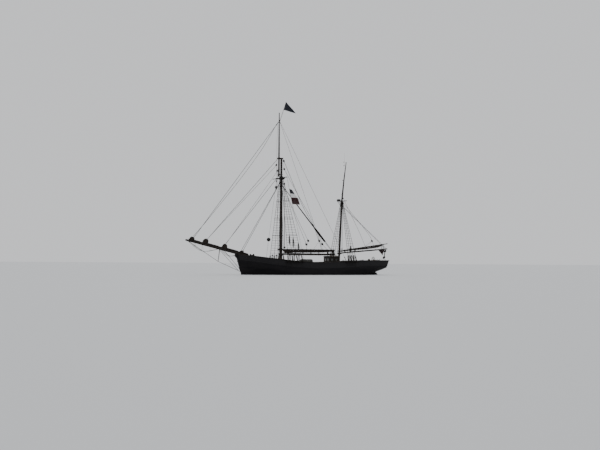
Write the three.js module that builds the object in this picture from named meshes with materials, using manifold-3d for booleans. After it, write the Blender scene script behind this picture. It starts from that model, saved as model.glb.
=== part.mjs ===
// A two-masted gaff ketch afloat with its sails furled.
// Millimetres, +Z up, +X aft, +Y starboard. The origin lies amidships on the centreline at the waterline.
import * as THREE from "three";
import { mergeVertices } from "three/addons/utils/BufferGeometryUtils.js";
import Module from "manifold-3d";

const wasm = await Module();
wasm.setup();

// Clearances
const GAP = 0.3;
const RUNNING_GAP = 0.7;
const SWING_GAP = 8;

// Hull: lengths, heights and the fore-and-aft profile
const BACKBONE_HALF = 140;
const BOW_DECK_X = -12750;
const STERN_DECK_X = 12860;
const RAIL_BOW_X = -12960;
const RAIL_STERN_X = 13150;
const FOREFOOT = { x: -11100, z: -1750 };
const HEEL = { x: 11000, z: -2600 };
const HULL_COLUMNS = 26;
const HULL_ROWS = [0, 0.07, 0.15, 0.25, 0.37, 0.5, 0.62, 0.756, 0.84, 0.927, 1];
const KEEL_BOTTOM_FORE = -2330;
const KEEL_BOTTOM_AFT = -2950;
const BULWARK_THICK = 95;
const BOW_PLANK = 45;
const CAP_HEIGHT = 75;
const CAP_HALF = 150;
const DECK_THICK = 60;
const DECK_CAMBER = 90;

// Spars: axes, heights and radii
const MAST_X = -5600;
const MAST_CAP_Z = 18050;
const MAST_SIDES = 16;
const SPAR_SIDES = 12;
const HOUNDS_Z = 15000;
const TOPMAST_X = -6030;
const TOPMAST_HEEL_Z = 15700;
const TRUCK_Z = 25300;
const BOOM_Z = 3215;
const GAFF_Z = 3900;
const BOOM_END_X = 4100;
const MIZZEN_FOOT = { x: 4740, z: 1300 };
const MIZZEN_HOUNDS = { x: 5300, z: 11800 };
const MIZZEN_TRUCK = { x: 6050, z: 18100 };
const BOWSPRIT_END = { x: -21340, z: 5180 };
const BOWSPRIT_HEEL = { x: -10780, z: 2762 };
const BOWSPRIT_RADIUS = 190;
const STRIKER_TIP = { x: -16150, z: 2000 };

// Rigging
const STAY_RADIUS = 30;
const SHROUD_RADIUS = 29;
const BACKSTAY_RADIUS = 18;
const ROPE_SIDES = 6;
const DEADEYE_RADIUS = 95;
const MAIN_SHROUD_FEET = [-5940, -5160, -4340, -3420];
const MIZZEN_SHROUD_FEET = [4720, 5200, 5700, 6200];
const BACKSTAY_FOOT_X = 4400;
const BACKSTAY_FOOT_LIFT = 8;

// Rudder, wheel and propeller
const STOCK_RADIUS = 60;
const STOCK_OFFSET = 78;
const STOCK_TOP_Z = 1200;
const STOCK_SIDES = 32;
const PROPELLER = { x: 10600, z: -1250, radius: 560, shaft: 60, hub: 95 };
const WHEEL = { x: 11240, z: 2380, rim: 470, reach: 600 };
const WHEEL_BOX = { x0: 11420, x1: 12280, half: 340, top: 2440 };

// Deck fittings: where they stand, their half widths and tops
const WINDLASS = { x: -10530, z: 2680, barrel: 150, shaft: 70 };
const SCUTTLE = { x0: -9300, x1: -8350, half: 420, top: 2600 };
const HATCH = { x0: -4150, x1: -2350, half: 820, top: 1660 };
const RAFTS = { x0: -1950, x1: -300, y: 430, z: 2110, radius: 335 };
const SKYLIGHT = { x0: 260, x1: 1380, half: 450, eaves: 1560, ridge: 1830 };
const HOUSE = { x0: 2550, x1: 4300, half: 950, top: 2865, wall: 60, windowZ: 2400 };
const DOOR = { y0: -850, y1: -250, z0: 1420, z1: 2740, thick: 45 };

const colours = {
  hull: { color: 0x141418, roughness: 0.55, metalness: 0 },
  bottom: { color: 0x3a1f1a, roughness: 0.8, metalness: 0 },
  trim: { color: 0x2a2420, roughness: 0.6, metalness: 0 },
  deck: { color: 0x8d7d63, roughness: 0.85, metalness: 0 },
  spar: { color: 0x4a3526, roughness: 0.5, metalness: 0 },
  sail: { color: 0x5c4f43, roughness: 0.95, metalness: 0 },
  rope: { color: 0x1c1a18, roughness: 0.9, metalness: 0 },
  iron: { color: 0x1a1b1d, roughness: 0.5, metalness: 0.6 },
  bronze: { color: 0x8a6a3a, roughness: 0.4, metalness: 0.9 },
  white: { color: 0xd8d6ce, roughness: 0.5, metalness: 0 },
  varnish: { color: 0x6b3f20, roughness: 0.35, metalness: 0 },
  blue: { color: 0x2b3748, roughness: 0.9, metalness: 0 },
  black: { color: 0x101012, roughness: 0.8, metalness: 0 },
};

const ship = new THREE.Group();

// Adds one named piece to the ship.
function add(name, geometry, finish) {
  const mesh = new THREE.Mesh(geometry, new THREE.MeshStandardMaterial(colours[finish]));
  mesh.name = name;
  ship.add(mesh);
  return mesh;
}

const point = (x, y, z) => new THREE.Vector3(x, y, z);

// Solids: to and from the boolean library
function solid(geometry) {
  const bare = geometry.clone();
  bare.deleteAttribute("normal");
  bare.deleteAttribute("uv");
  const merged = mergeVertices(bare, 0.001);
  return new wasm.Manifold(
    new wasm.Mesh({
      numProp: 3,
      vertProperties: new Float32Array(merged.attributes.position.array),
      triVerts: new Uint32Array(merged.index.array),
    }),
  );
}

function geometryOf(body) {
  const mesh = body.getMesh();
  const geometry = new THREE.BufferGeometry();
  geometry.setAttribute("position", new THREE.BufferAttribute(mesh.vertProperties, mesh.numProp));
  geometry.setIndex(new THREE.BufferAttribute(mesh.triVerts, 1));
  return geometry;
}

function join(...geometries) {
  return geometryOf(geometries.map(solid).reduce((sum, next) => sum.add(next)));
}

function cut(geometry, ...tools) {
  return geometryOf(tools.map(solid).reduce((rest, tool) => rest.subtract(tool), solid(geometry)));
}

// A smooth function through the rows of a table, read from one named column against another.
function smooth(rows, from, to) {
  const x = rows.map((row) => row[from]);
  const y = rows.map((row) => row[to]);
  const slope = x.slice(1).map((value, i) => (y[i + 1] - y[i]) / (value - x[i]));
  const tangent = x.map((_, i) => {
    if (i === 0) return slope[0];
    if (i === x.length - 1) return slope[i - 1];
    return slope[i - 1] * slope[i] <= 0 ? 0 : (2 * slope[i - 1] * slope[i]) / (slope[i - 1] + slope[i]);
  });
  return (value) => {
    const clamped = Math.min(Math.max(value, x[0]), x[x.length - 1]);
    const i = Math.min(x.length - 2, Math.max(0, x.findIndex((edge) => edge > clamped) - 1));
    const last = clamped >= x[x.length - 1] ? x.length - 2 : i;
    const span = x[last + 1] - x[last];
    const t = (clamped - x[last]) / span;
    const rise = y[last + 1] - y[last];
    const bend = t * t * (3 - 2 * t);
    const enter = t * (1 - t) * (1 - t) * span * tangent[last];
    const leave = t * t * (t - 1) * span * tangent[last + 1];
    return y[last] + bend * rise + enter + leave;
  };
}

// A closed skin through rings of equal count. Mirrored rings get straight rungs across their ends.
function loft(rings, mirrored = false) {
  const count = rings[0].length;
  const index = [];
  const quad = (a, b, c, d) => index.push(a, b, c, a, c, d);
  for (let i = 0; i < rings.length - 1; i += 1) {
    for (let j = 0; j < count; j += 1) {
      const next = (j + 1) % count;
      quad(i * count + j, i * count + next, (i + 1) * count + next, (i + 1) * count + j);
    }
  }
  const closeEnd = (base, flip) => {
    const triangles = [];
    if (mirrored) {
      for (let j = 0; j < Math.floor(count / 2); j += 1) {
        const across = count - 1 - j;
        if (across - 1 > j + 1) triangles.push([j, across, across - 1], [j, across - 1, j + 1]);
        else if (across - 1 === j + 1) triangles.push([j, across, j + 1]);
      }
    } else {
      for (let j = 1; j < count - 1; j += 1) triangles.push([0, j + 1, j]);
    }
    for (const [a, b, c] of triangles) index.push(base + a, base + (flip ? c : b), base + (flip ? b : c));
  };
  closeEnd(0, false);
  closeEnd((rings.length - 1) * count, true);
  const geometry = new THREE.BufferGeometry();
  const numbers = rings.flat().flatMap((corner) => [corner.x, corner.y, corner.z]);
  geometry.setAttribute("position", new THREE.BufferAttribute(new Float32Array(numbers), 3));
  geometry.setIndex(index);
  return outward(geometry);
}

// Turns the faces over where the signed volume says that they point in.
function outward(geometry) {
  const { position } = geometry.attributes;
  const { array } = geometry.index;
  const corners = [point(), point(), point()];
  let volume = 0;
  for (let i = 0; i < array.length; i += 3) {
    corners.forEach((corner, k) => corner.fromBufferAttribute(position, array[i + k]));
    volume += corners[0].dot(corners[1].clone().cross(corners[2]));
  }
  if (volume < 0) {
    for (let i = 0; i < array.length; i += 3) [array[i], array[i + 1]] = [array[i + 1], array[i]];
  }
  return geometry;
}

// A round spar through stations of x, y, z and radius, its rings square to the line of its ends.
function spar(stations, sides = 12, squash = 1) {
  const centres = stations.map((row) => point(row.x, row.y ?? 0, row.z));
  const along = centres[centres.length - 1].clone().sub(centres[0]).normalize();
  const reference = Math.abs(along.z) > 0.9 ? point(1, 0, 0) : point(0, 0, 1);
  const side = reference.clone().cross(along).normalize();
  const over = along.clone().cross(side);
  const rings = centres.map((centre, i) =>
    Array.from({ length: sides }, (_, j) => {
      const angle = ((j + 0.5) / sides) * Math.PI * 2;
      return centre
        .clone()
        .addScaledVector(side, Math.cos(angle) * stations[i].r)
        .addScaledVector(over, Math.sin(angle) * stations[i].r * (stations[i].flat ?? squash));
    }),
  );
  return loft(rings);
}

const rope = (from, to, r = STAY_RADIUS, sides = ROPE_SIDES) =>
  spar([{ ...from, r }, { ...to, r }], sides);

function box(x0, x1, y0, y1, z0, z1) {
  const geometry = new THREE.BoxGeometry(x1 - x0, y1 - y0, z1 - z0);
  return geometry.translate((x0 + x1) / 2, (y0 + y1) / 2, (z0 + z1) / 2);
}

// A flat outline in the fore-and-aft plane, as thick as its two sides of y.
function plate(outline, y0, y1) {
  const shape = new THREE.Shape(outline.map(([x, z]) => new THREE.Vector2(x, z)));
  const geometry = new THREE.ExtrudeGeometry(shape, { depth: y1 - y0, bevelEnabled: false });
  return geometry.rotateX(Math.PI / 2).translate(0, y1, 0);
}

// An upright ring round a mast, its inner corners clear of a round of the given radius.
function collar(x, z0, z1, inner, outer, sides = 2 * MAST_SIDES) {
  const bore = inner / Math.cos(Math.PI / sides);
  const profile = [[bore, z0], [outer, z0], [outer, z1], [bore, z1], [bore, z0]];
  const geometry = new THREE.LatheGeometry(profile.map(([r, z]) => new THREE.Vector2(r, z)), sides);
  return geometry.rotateX(Math.PI / 2).translate(x, 0, 0);
}

function disc(x, y, z, radius, thick, axis, sides = 12) {
  const geometry = new THREE.CylinderGeometry(radius, radius, thick, sides);
  if (axis === "x") geometry.rotateZ(Math.PI / 2);
  if (axis === "z") geometry.rotateX(Math.PI / 2);
  return geometry.translate(x, y, z);
}

const nudged = (geometry, x, y, z) => geometry.clone().translate(x, y, z);

// A box whose y runs outward from the centreline on the given side
const sideBox = (side, x0, x1, inner, outer, z0, z1) =>
  box(x0, x1, Math.min(side * inner, side * outer), Math.max(side * inner, side * outer), z0, z1);

// Hull form: one row a station, read against the distance along the deck
const stations = [
  { x: -12750, half: 150, deadwood: 0, fullness: 1.05, hollow: 1.0 },
  { x: -12200, half: 640, deadwood: 0, fullness: 1.1, hollow: 1.05 },
  { x: -11200, half: 1330, deadwood: 0, fullness: 1.2, hollow: 1.05 },
  { x: -10000, half: 1930, deadwood: 0, fullness: 1.45, hollow: 1.0 },
  { x: -8200, half: 2500, deadwood: 0, fullness: 1.9, hollow: 0.85 },
  { x: -5600, half: 2950, deadwood: 0, fullness: 2.5, hollow: 0.7 },
  { x: -1500, half: 3180, deadwood: 0, fullness: 2.9, hollow: 0.62 },
  { x: 2500, half: 3150, deadwood: 0, fullness: 2.8, hollow: 0.68 },
  { x: 6000, half: 2930, deadwood: 0.04, fullness: 2.5, hollow: 0.95 },
  { x: 9000, half: 2560, deadwood: 0.2, fullness: 2.3, hollow: 1.25 },
  { x: 11200, half: 2180, deadwood: 0.46, fullness: 2.2, hollow: 1.15 },
  { x: 12860, half: 1760, deadwood: 0.72, fullness: 2.2, hollow: 0.8 },
];
const halfAt = smooth(stations, "x", "half");
const deadwoodAt = smooth(stations, "x", "deadwood");
const fullnessAt = smooth(stations, "x", "fullness");
const hollowAt = smooth(stations, "x", "hollow");

// Caprail height above the waterline, and how far the deck edge lies below it
const sheer = [
  { x: -13000, rail: 3110, drop: 830 },
  { x: -11400, rail: 2970, drop: 850 },
  { x: -9500, rail: 2730, drop: 880 },
  { x: -6000, rail: 2350, drop: 930 },
  { x: -3000, rail: 2100, drop: 950 },
  { x: -600, rail: 1990, drop: 950 },
  { x: 2500, rail: 2040, drop: 930 },
  { x: 6100, rail: 2220, drop: 900 },
  { x: 8700, rail: 2330, drop: 870 },
  { x: 11000, rail: 2365, drop: 860 },
  { x: 13200, rail: 2380, drop: 860 },
];
const railAt = smooth(sheer, "x", "rail");
const dropAt = smooth(sheer, "x", "drop");
const deckEdgeAt = (x) => railAt(x) - dropAt(x);

// The rabbet at the two ends, from the bottom up, by the share of the height
const stemLine = [
  { s: 0, x: -11100, z: -1750 },
  { s: 0.25, x: -11620, z: -760 },
  { s: 0.5, x: -11930, z: 260 },
  { s: 0.75, x: -12330, z: 1270 },
  { s: 1, x: BOW_DECK_X, z: deckEdgeAt(BOW_DECK_X) },
];
const sternLine = [
  { s: 0, x: 11000, z: -2600 },
  { s: 0.756, x: 11330, z: 500 },
  { s: 0.927, x: 12760, z: 1210 },
  { s: 1, x: STERN_DECK_X, z: deckEdgeAt(STERN_DECK_X) },
];
const straight = (rows, key) => (s) => {
  const i = Math.max(0, Math.min(rows.length - 2, rows.findIndex((row) => row.s >= s) - 1));
  const t = (s - rows[i].s) / (rows[i + 1].s - rows[i].s);
  return rows[i][key] + t * (rows[i + 1][key] - rows[i][key]);
};
const stemX = smooth(stemLine, "s", "x");
const stemZ = smooth(stemLine, "s", "z");
const sternX = straight(sternLine, "x");
const sternZ = straight(sternLine, "z");

const columns = Array.from({ length: HULL_COLUMNS + 1 }, (_, i) => {
  const even = i / HULL_COLUMNS;
  return 0.45 * even + 0.55 * 0.5 * (1 - Math.cos(Math.PI * even));
});
const deckX = (u) => BOW_DECK_X + u * (STERN_DECK_X - BOW_DECK_X);

// A point of the hull's side: u runs aft along the hull and s up from the keel.
function hullPoint(u, s) {
  const bottom = point().lerpVectors(point(FOREFOOT.x, 0, FOREFOOT.z), point(HEEL.x, 0, HEEL.z), u);
  const top = point(deckX(u), 0, deckEdgeAt(deckX(u)));
  const fore = point(stemX(s), 0, stemZ(s));
  const aft = point(sternX(s), 0, sternZ(s));
  const upper = point().lerpVectors(point(deckX(0), 0, stemZ(1)), point(deckX(1), 0, sternZ(1)), u);
  const lower = bottom.clone();
  const place = bottom.multiplyScalar(1 - s).addScaledVector(top, s);
  place.addScaledVector(fore, 1 - u).addScaledVector(aft, u);
  place.addScaledVector(lower, -(1 - s)).addScaledVector(upper, -s);
  const x = deckX(u);
  const above = Math.max(0, (s - deadwoodAt(x)) / (1 - deadwoodAt(x)));
  const share = (1 - (1 - above) ** fullnessAt(x)) ** hollowAt(x);
  place.y = BACKBONE_HALF + (halfAt(x) - BACKBONE_HALF) * share;
  return place;
}

const mirror = (corner) => point(corner.x, -corner.y, corner.z);
const camberAt = (x) => (DECK_CAMBER * halfAt(x)) / 3200;

function hullForm() {
  const rings = columns.map((u) => {
    const side = HULL_ROWS.map((s) => hullPoint(u, s));
    const top = side[side.length - 1];
    const crown = point(top.x, 0, top.z + camberAt(deckX(u)));
    return [...side, crown, ...side.map(mirror).reverse()];
  });
  return loft(rings, true);
}

// The open aperture for the propeller, cut through the thin after body
function aperture() {
  return box(PROPELLER.x - 330, PROPELLER.x + 230, -900, 900, PROPELLER.z - 640, PROPELLER.z + 620);
}

function hull() {
  const bore = (PROPELLER.shaft + RUNNING_GAP) / Math.cos(Math.PI / 16);
  const shaftBore = disc(PROPELLER.x - 600, 0, PROPELLER.z, bore, 1200, "x", 16);
  return cut(hullForm(), aperture(), shaftBore, rudderTrunk());
}

function keel() {
  const line = (x) => FOREFOOT.z + ((x - FOREFOOT.x) / (HEEL.x - FOREFOOT.x)) * (HEEL.z - FOREFOOT.z);
  const outline = [
    [-10100, line(-10100) - GAP],
    [-10100, KEEL_BOTTOM_FORE + 60],
    [-9300, KEEL_BOTTOM_FORE],
    [HEEL.x + 220, KEEL_BOTTOM_AFT],
    [HEEL.x + 220, HEEL.z - 60],
    [HEEL.x, HEEL.z - 60],
    [HEEL.x, HEEL.z - GAP],
  ];
  return plate(outline, -BACKBONE_HALF, BACKBONE_HALF);
}

// The stem and gripe, from the keel's fore end up to the bowsprit's underside
function stem() {
  const rabbet = HULL_ROWS.map((s) => [stemX(s) - GAP, stemZ(s)]);
  const line = (x) => FOREFOOT.z + ((x - FOREFOOT.x) / (HEEL.x - FOREFOOT.x)) * (HEEL.z - FOREFOOT.z);
  const outline = [
    [-10100 - GAP, KEEL_BOTTOM_FORE + 60],
    [-10100 - GAP, line(-10100) - GAP],
    [FOREFOOT.x - GAP, FOREFOOT.z - GAP],
    ...rabbet.slice(1),
    [RAIL_BOW_X + 40, 2700],
    [RAIL_BOW_X + 90, 3330],
    [-13330, 3330],
    [-13400, 2830],
    [-13060, 2500],
    [-12700, 1330],
    [-12280, 70],
    [-12000, -700],
    [-11600, -1350],
    [-11000, -1960],
  ];
  const above = box(-13600, -12000, -400, 400, 3250, 3600);
  return cut(plate(outline, -BACKBONE_HALF, BACKBONE_HALF), bowspritCutter(GAP), above);
}

const deckColumns = columns
  .map(deckX)
  .filter((x) => x > -12300 && x < STERN_DECK_X - BULWARK_THICK - 40)
  .concat([STERN_DECK_X - BULWARK_THICK - GAP]);

// Rings of the deck between a lower and an upper rise above the hull, inside the bulwarks
function deckRings(low, high) {
  return deckColumns.map((x) => {
    const edge = halfAt(x) - BULWARK_THICK - 10;
    const base = deckEdgeAt(x);
    const inset = camberAt(x) * ((BULWARK_THICK + 10) / halfAt(x));
    const crown = base + camberAt(x);
    return [
      point(x, 0, crown + low),
      point(x, edge, base + inset + low),
      point(x, edge, base + inset + high),
      point(x, 0, crown + high),
      point(x, -edge, base + inset + high),
      point(x, -edge, base + inset + low),
    ];
  });
}

function deck() {
  return cut(loft(deckRings(GAP - 40, GAP + DECK_THICK)), nudged(hullForm(), 0, 0, GAP));
}

// Cuts the foot of a fitting to the deck's crown and sheer.
function seat(geometry) {
  return cut(geometry, loft(deckRings(-900, 2 * GAP + DECK_THICK)));
}

// The rail lies outside the deck edge forward, where the topsides flare, and falls in slightly amidships.
const railX = (u) => RAIL_BOW_X + u * (RAIL_STERN_X - RAIL_BOW_X);
const railHalf = (u) => {
  const x = deckX(u);
  const flare = 150 * Math.exp(-(((x + 11200) / 2600) ** 2)) - 40 * Math.exp(-(((x - 1000) / 6500) ** 2));
  return halfAt(x) + flare * Math.min(1, (x - BOW_DECK_X) / 900);
};

// At the bow the bulwark lies against the side of the stem.
function bulwark(side) {
  const rings = columns.map((u) => {
    const low = deckEdgeAt(deckX(u)) + GAP;
    const high = railAt(railX(u)) - CAP_HEIGHT;
    const outer = (half) => Math.max(half, BACKBONE_HALF + GAP + BOW_PLANK);
    const inner = (half) => Math.max(half - BULWARK_THICK, BACKBONE_HALF + GAP);
    return [
      point(deckX(u), side * outer(halfAt(deckX(u))), low),
      point(railX(u), side * outer(railHalf(u)), high),
      point(railX(u), side * inner(railHalf(u)), high),
      point(deckX(u), side * inner(halfAt(deckX(u))), low),
    ];
  });
  return cut(loft(rings), bowspritClearance(), nudged(hullForm(), 0, 0, GAP));
}

function bowspritClearance() {
  const r = BOWSPRIT_RADIUS + SWING_GAP;
  return spar([{ ...BOWSPRIT_HEEL, r }, { ...BOWSPRIT_END, r }], 16);
}

function sternBulwark() {
  const low = deckEdgeAt(STERN_DECK_X) + GAP;
  const high = railAt(RAIL_STERN_X) - CAP_HEIGHT - 4;
  const ring = (side) => {
    const foot = side * (halfAt(STERN_DECK_X) - BULWARK_THICK - GAP);
    const head = side * (railHalf(1) - BULWARK_THICK - GAP);
    return [
      point(STERN_DECK_X, foot, low),
      point(RAIL_STERN_X, head, high),
      point(RAIL_STERN_X - BULWARK_THICK, head, high),
      point(STERN_DECK_X - BULWARK_THICK, foot, low),
    ];
  };
  return cut(loft([ring(-1), ring(1)]), nudged(hullForm(), 0, 0, GAP));
}

// The caprail runs down both sides and across the stern.
const capMiddle = (u) => railHalf(u) - BULWARK_THICK / 2;
const capOuterAt = (x) => capMiddle((x - RAIL_BOW_X) / (RAIL_STERN_X - RAIL_BOW_X)) + CAP_HALF;

function caprailSide(side) {
  const rings = columns.map((u) => {
    const inner = side * Math.max(capMiddle(u) - CAP_HALF, BACKBONE_HALF + GAP);
    const outer = side * (capMiddle(u) + CAP_HALF);
    const x = railX(u);
    const low = railAt(x) - CAP_HEIGHT + GAP;
    const high = railAt(x);
    return [point(x, inner, low), point(x, outer, low), point(x, outer, high), point(x, inner, high)];
  });
  return loft(rings);
}

function caprail() {
  const half = capMiddle(1) + CAP_HALF - 40;
  const high = railAt(RAIL_STERN_X);
  const taffrail = box(RAIL_STERN_X - 240, RAIL_STERN_X + 70, -half, half, high - CAP_HEIGHT + GAP, high);
  return cut(join(caprailSide(-1), caprailSide(1), taffrail), bowspritClearance());
}

// Bowsprit and its gear
const bowspritZ = (x) =>
  BOWSPRIT_HEEL.z +
  ((x - BOWSPRIT_HEEL.x) / (BOWSPRIT_END.x - BOWSPRIT_HEEL.x)) * (BOWSPRIT_END.z - BOWSPRIT_HEEL.z);
const onBowsprit = (x, share) => {
  const slope = Math.atan2(BOWSPRIT_END.z - BOWSPRIT_HEEL.z, BOWSPRIT_HEEL.x - BOWSPRIT_END.x);
  return bowspritZ(x) + (share * bowspritRadius(x)) / Math.cos(slope);
};
const bowspritRadius = (x) => BOWSPRIT_RADIUS - Math.max(0, (-14000 - x) / (-14000 + 21340)) * 60;

function bowsprit() {
  const xs = [BOWSPRIT_HEEL.x, -14000, -16500, -19000, BOWSPRIT_END.x];
  const body = spar(xs.map((x) => ({ x, z: bowspritZ(x), r: bowspritRadius(x) })), 12);
  return body;
}

const bowspritCutter = (clear) => {
  const grow = (r) => r + clear / Math.cos(Math.PI / 12);
  const xs = [BOWSPRIT_HEEL.x + 50, -14000, BOWSPRIT_END.x - 50];
  return spar(xs.map((x) => ({ x, z: bowspritZ(x), r: grow(bowspritRadius(x)) })), 12);
};

// The striker below the bowsprit, with the martingale over its tip and the inner bobstay,
// both to a stem strap
function dolphinStriker() {
  const head = { x: -15880, z: bowspritZ(-15880) };
  const strut = spar([{ ...head, r: 62 }, { ...STRIKER_TIP, r: 42 }], 8);
  const outer = { x: BOWSPRIT_END.x + 160, z: bowspritZ(BOWSPRIT_END.x + 160) };
  const tip = { x: STRIKER_TIP.x, z: STRIKER_TIP.z + 10 };
  const lowEye = { x: -12440, z: 480 };
  const highEye = { x: -12640, z: 960 };
  const inner = { x: -15300, z: bowspritZ(-15300) };
  const strap = rope(lowEye, highEye, 45, 8);
  const gear = join(strut, rope(outer, tip), rope(tip, lowEye), rope(inner, highEye), strap);
  return cut(gear, bowspritCutter(GAP), nudged(stem(), -0.4, 0, 0));
}

// Main mast
const mainRadius = smooth(
  [
    { z: 1200, r: 245 },
    { z: 4000, r: 238 },
    { z: 10000, r: 222 },
    { z: HOUNDS_Z, r: 200 },
    { z: HOUNDS_Z + 600, r: 172 },
    { z: MAST_CAP_Z, r: 160 },
  ],
  "z",
  "r",
);

const BOOM_SEAT_Z = BOOM_Z - 125;

function mainLowerMast() {
  const zs = [1300, 4000, 8000, 12000, HOUNDS_Z, HOUNDS_Z + 300, HOUNDS_Z + 600, MAST_CAP_Z];
  const pole = spar(zs.map((z) => ({ x: MAST_X, z, r: mainRadius(z) })), MAST_SIDES);
  const saddle = collarSolid(MAST_X, BOOM_SEAT_Z - 110, BOOM_SEAT_Z - GAP, 330);
  const heelBand = collarSolid(MAST_X, TOPMAST_HEEL_Z - 130, TOPMAST_HEEL_Z - GAP, 205);
  const heelShelf = box(TOPMAST_X - 150, MAST_X, -110, 110, TOPMAST_HEEL_Z - 130, TOPMAST_HEEL_Z - GAP);
  const cap = box(TOPMAST_X - 230, MAST_X + 220, -215, 215, MAST_CAP_Z - 10, MAST_CAP_Z + 190);
  const bore = disc(TOPMAST_X, 0, MAST_CAP_Z, (130 + GAP) / Math.cos(Math.PI / 24), 900, "z", 24);
  return seat(join(pole, saddle, heelBand, heelShelf, cut(cap, bore)));
}

// A plain round band of full section
function collarSolid(x, z0, z1, outer) {
  return disc(x, 0, (z0 + z1) / 2, outer, z1 - z0, "z", MAST_SIDES);
}

function mainTopmast() {
  const rows = [
    { z: TOPMAST_HEEL_Z, r: 130 },
    { z: MAST_CAP_Z + 300, r: 128 },
    { z: 21500, r: 108 },
    { z: 24200, r: 82 },
    { z: TRUCK_Z - 90, r: 66 },
  ];
  const pole = spar(rows.map((row) => ({ x: TOPMAST_X, ...row })), 12);
  const truck = disc(TOPMAST_X, 0, TRUCK_Z - 60, 105, 60, "z", 12);
  const knob = disc(TOPMAST_X, 0, TRUCK_Z - 20, 60, 40, "z", 12);
  return join(pole, truck, knob);
}

const CROSSTREE_X = -5870;
const CROSSTREE_HALF = 2500;

function mainCrosstrees() {
  const inner = 202;
  const bars = [-1, 1].map((side) =>
    sideBox(side, -6450, -5150, inner, inner + 80, HOUNDS_Z - 120, HOUNDS_Z + 60),
  );
  const spreader = (x, half) => box(x - 55, x + 55, -half, half, HOUNDS_Z + 20, HOUNDS_Z + 110);
  return join(...bars, spreader(CROSSTREE_X, CROSSTREE_HALF), spreader(-5280, 620));
}

const FLAGSTAFF_HEAD = { x: -4860, z: 27110 };

const FLAGSTAFF_LEAN = 0.337;
const flagstaffX = (z) => FLAGSTAFF_HEAD.x - (FLAGSTAFF_HEAD.z - z) * FLAGSTAFF_LEAN;

function flagstaff() {
  const foot = { x: flagstaffX(24010), z: 24010 };
  const pole = spar([{ ...foot, r: 32 }, { ...FLAGSTAFF_HEAD, r: 26 }], 8);
  const lashing = rope({ x: TOPMAST_X, z: 24150 }, { x: flagstaffX(24150), z: 24150 }, 30, 8);
  return cut(join(pole, lashing), nudged(mainTopmast(), 0.4, 0, 0));
}

// A hanging flag as a thin closed sheet whose corners are given in order
function flagSlab(corners, thick) {
  const shifted = (dy) => corners.map(([x, y, z]) => point(x, y + dy, z));
  return loft([shifted(-thick / 2), shifted(thick / 2)]);
}

function pennant() {
  const high = FLAGSTAFF_HEAD.z - 20;
  const low = 25800;
  const hoist = [
    [flagstaffX(high) + 26, 0, high],
    [flagstaffX(low) + 28.4, 0, low],
  ];
  return flagSlab([...hoist, [-3060, 60, 25390], [-3120, 60, 25480]], 30);
}

const channelTop = (feet) => Math.min(...feet.map(railAt)) - CAP_HEIGHT - 60;

// One gang of shrouds with its channel board, deadeyes and sheer pole, gathered in a half collar at the mast
function shroudGang({ side, feet, boardFore, hounds, collarRadius, mastRadius, rake }) {
  const channelZ = channelTop(feet);
  const footY = Math.max(...feet.map(capOuterAt)) + 150;
  const pieces = [channelBoard(side, boardFore, Math.max(...feet) + 260, footY + 90, channelZ)];
  const poleEnds = [];
  for (const [i, x] of feet.entries()) {
    const foot = point(x, side * footY, channelZ - 20);
    const around = ((i - (feet.length - 1) / 2) * collarRadius) / 4.2;
    const headY = side * Math.sqrt((collarRadius - 42) ** 2 - around ** 2);
    const head = point(hounds.x + around, headY, hounds.z);
    const at = (z) => foot.clone().lerp(head, (z - foot.z) / (head.z - foot.z));
    const low = at(channelZ + 210);
    const high = at(channelZ + 830);
    pieces.push(rope(foot, head, SHROUD_RADIUS), rope(low, high, 50));
    for (const eye of [low, high]) pieces.push(disc(eye.x, eye.y, eye.z, DEADEYE_RADIUS, 110, "y", 8));
    poleEnds.push(at(channelZ + 1000));
  }
  const first = poleEnds[0].clone().add(point(-90, side * 19, 5));
  const last = poleEnds[poleEnds.length - 1].clone().add(point(90, side * 19, 5));
  pieces.push(rope(first, last, 27, 8));
  const ring = collar(0, -40, 80, mastRadius + GAP, collarRadius, MAST_SIDES);
  const keep = sideBox(side, -600, 600, 2 * GAP, 900, -100, 200);
  const half = geometryOf(solid(ring).intersect(solid(keep)));
  pieces.push(half.rotateY(rake).translate(hounds.x, 0, hounds.z));
  return join(...pieces);
}

// A shelf outside the bulwark, its inner edge cut to the side
function channelBoard(side, x0, x1, outer, top) {
  const inner = Math.min(...[x0, (x0 + x1) / 2, x1].map(capOuterAt)) - CAP_HALF + BULWARK_THICK / 2 - 60;
  const board = sideBox(side, x0, x1, inner, outer, top - 75, top);
  return cut(board, ...[GAP, -70, -140, -210].map((shift) => nudged(bulwark(side), 0, side * shift, 0)));
}

const mainGang = (side) =>
  shroudGang({
    side,
    feet: MAIN_SHROUD_FEET,
    boardFore: MAIN_SHROUD_FEET[0] - 260,
    hounds: { x: MAST_X, z: HOUNDS_Z + 200 },
    collarRadius: 350,
    mastRadius: 200,
    rake: 0,
  });

const mizzenGang = (side) =>
  shroudGang({
    side,
    feet: MIZZEN_SHROUD_FEET,
    boardFore: BACKSTAY_FOOT_X - 160,
    hounds: { x: mizzenX(11600), z: 11600 },
    collarRadius: 260,
    mastRadius: 152,
    rake: MIZZEN_RAKE,
  });

// Mizzen mast, raked aft and bent a little more at its head
const MIZZEN_RAKE = Math.atan2(MIZZEN_HOUNDS.x - MIZZEN_FOOT.x, MIZZEN_HOUNDS.z - MIZZEN_FOOT.z);
const mizzenX = (z) => MIZZEN_FOOT.x + (z - MIZZEN_FOOT.z) * Math.tan(MIZZEN_RAKE);
const mizzenRadius = (z) => 175 - ((z - 1300) / (MIZZEN_HOUNDS.z - 1300)) * 25;

// Places geometry made upright about the z axis onto the raked mizzen at a height
function onMizzen(geometry, z) {
  return geometry.rotateY(MIZZEN_RAKE).translate(mizzenX(z), 0, z);
}

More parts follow.
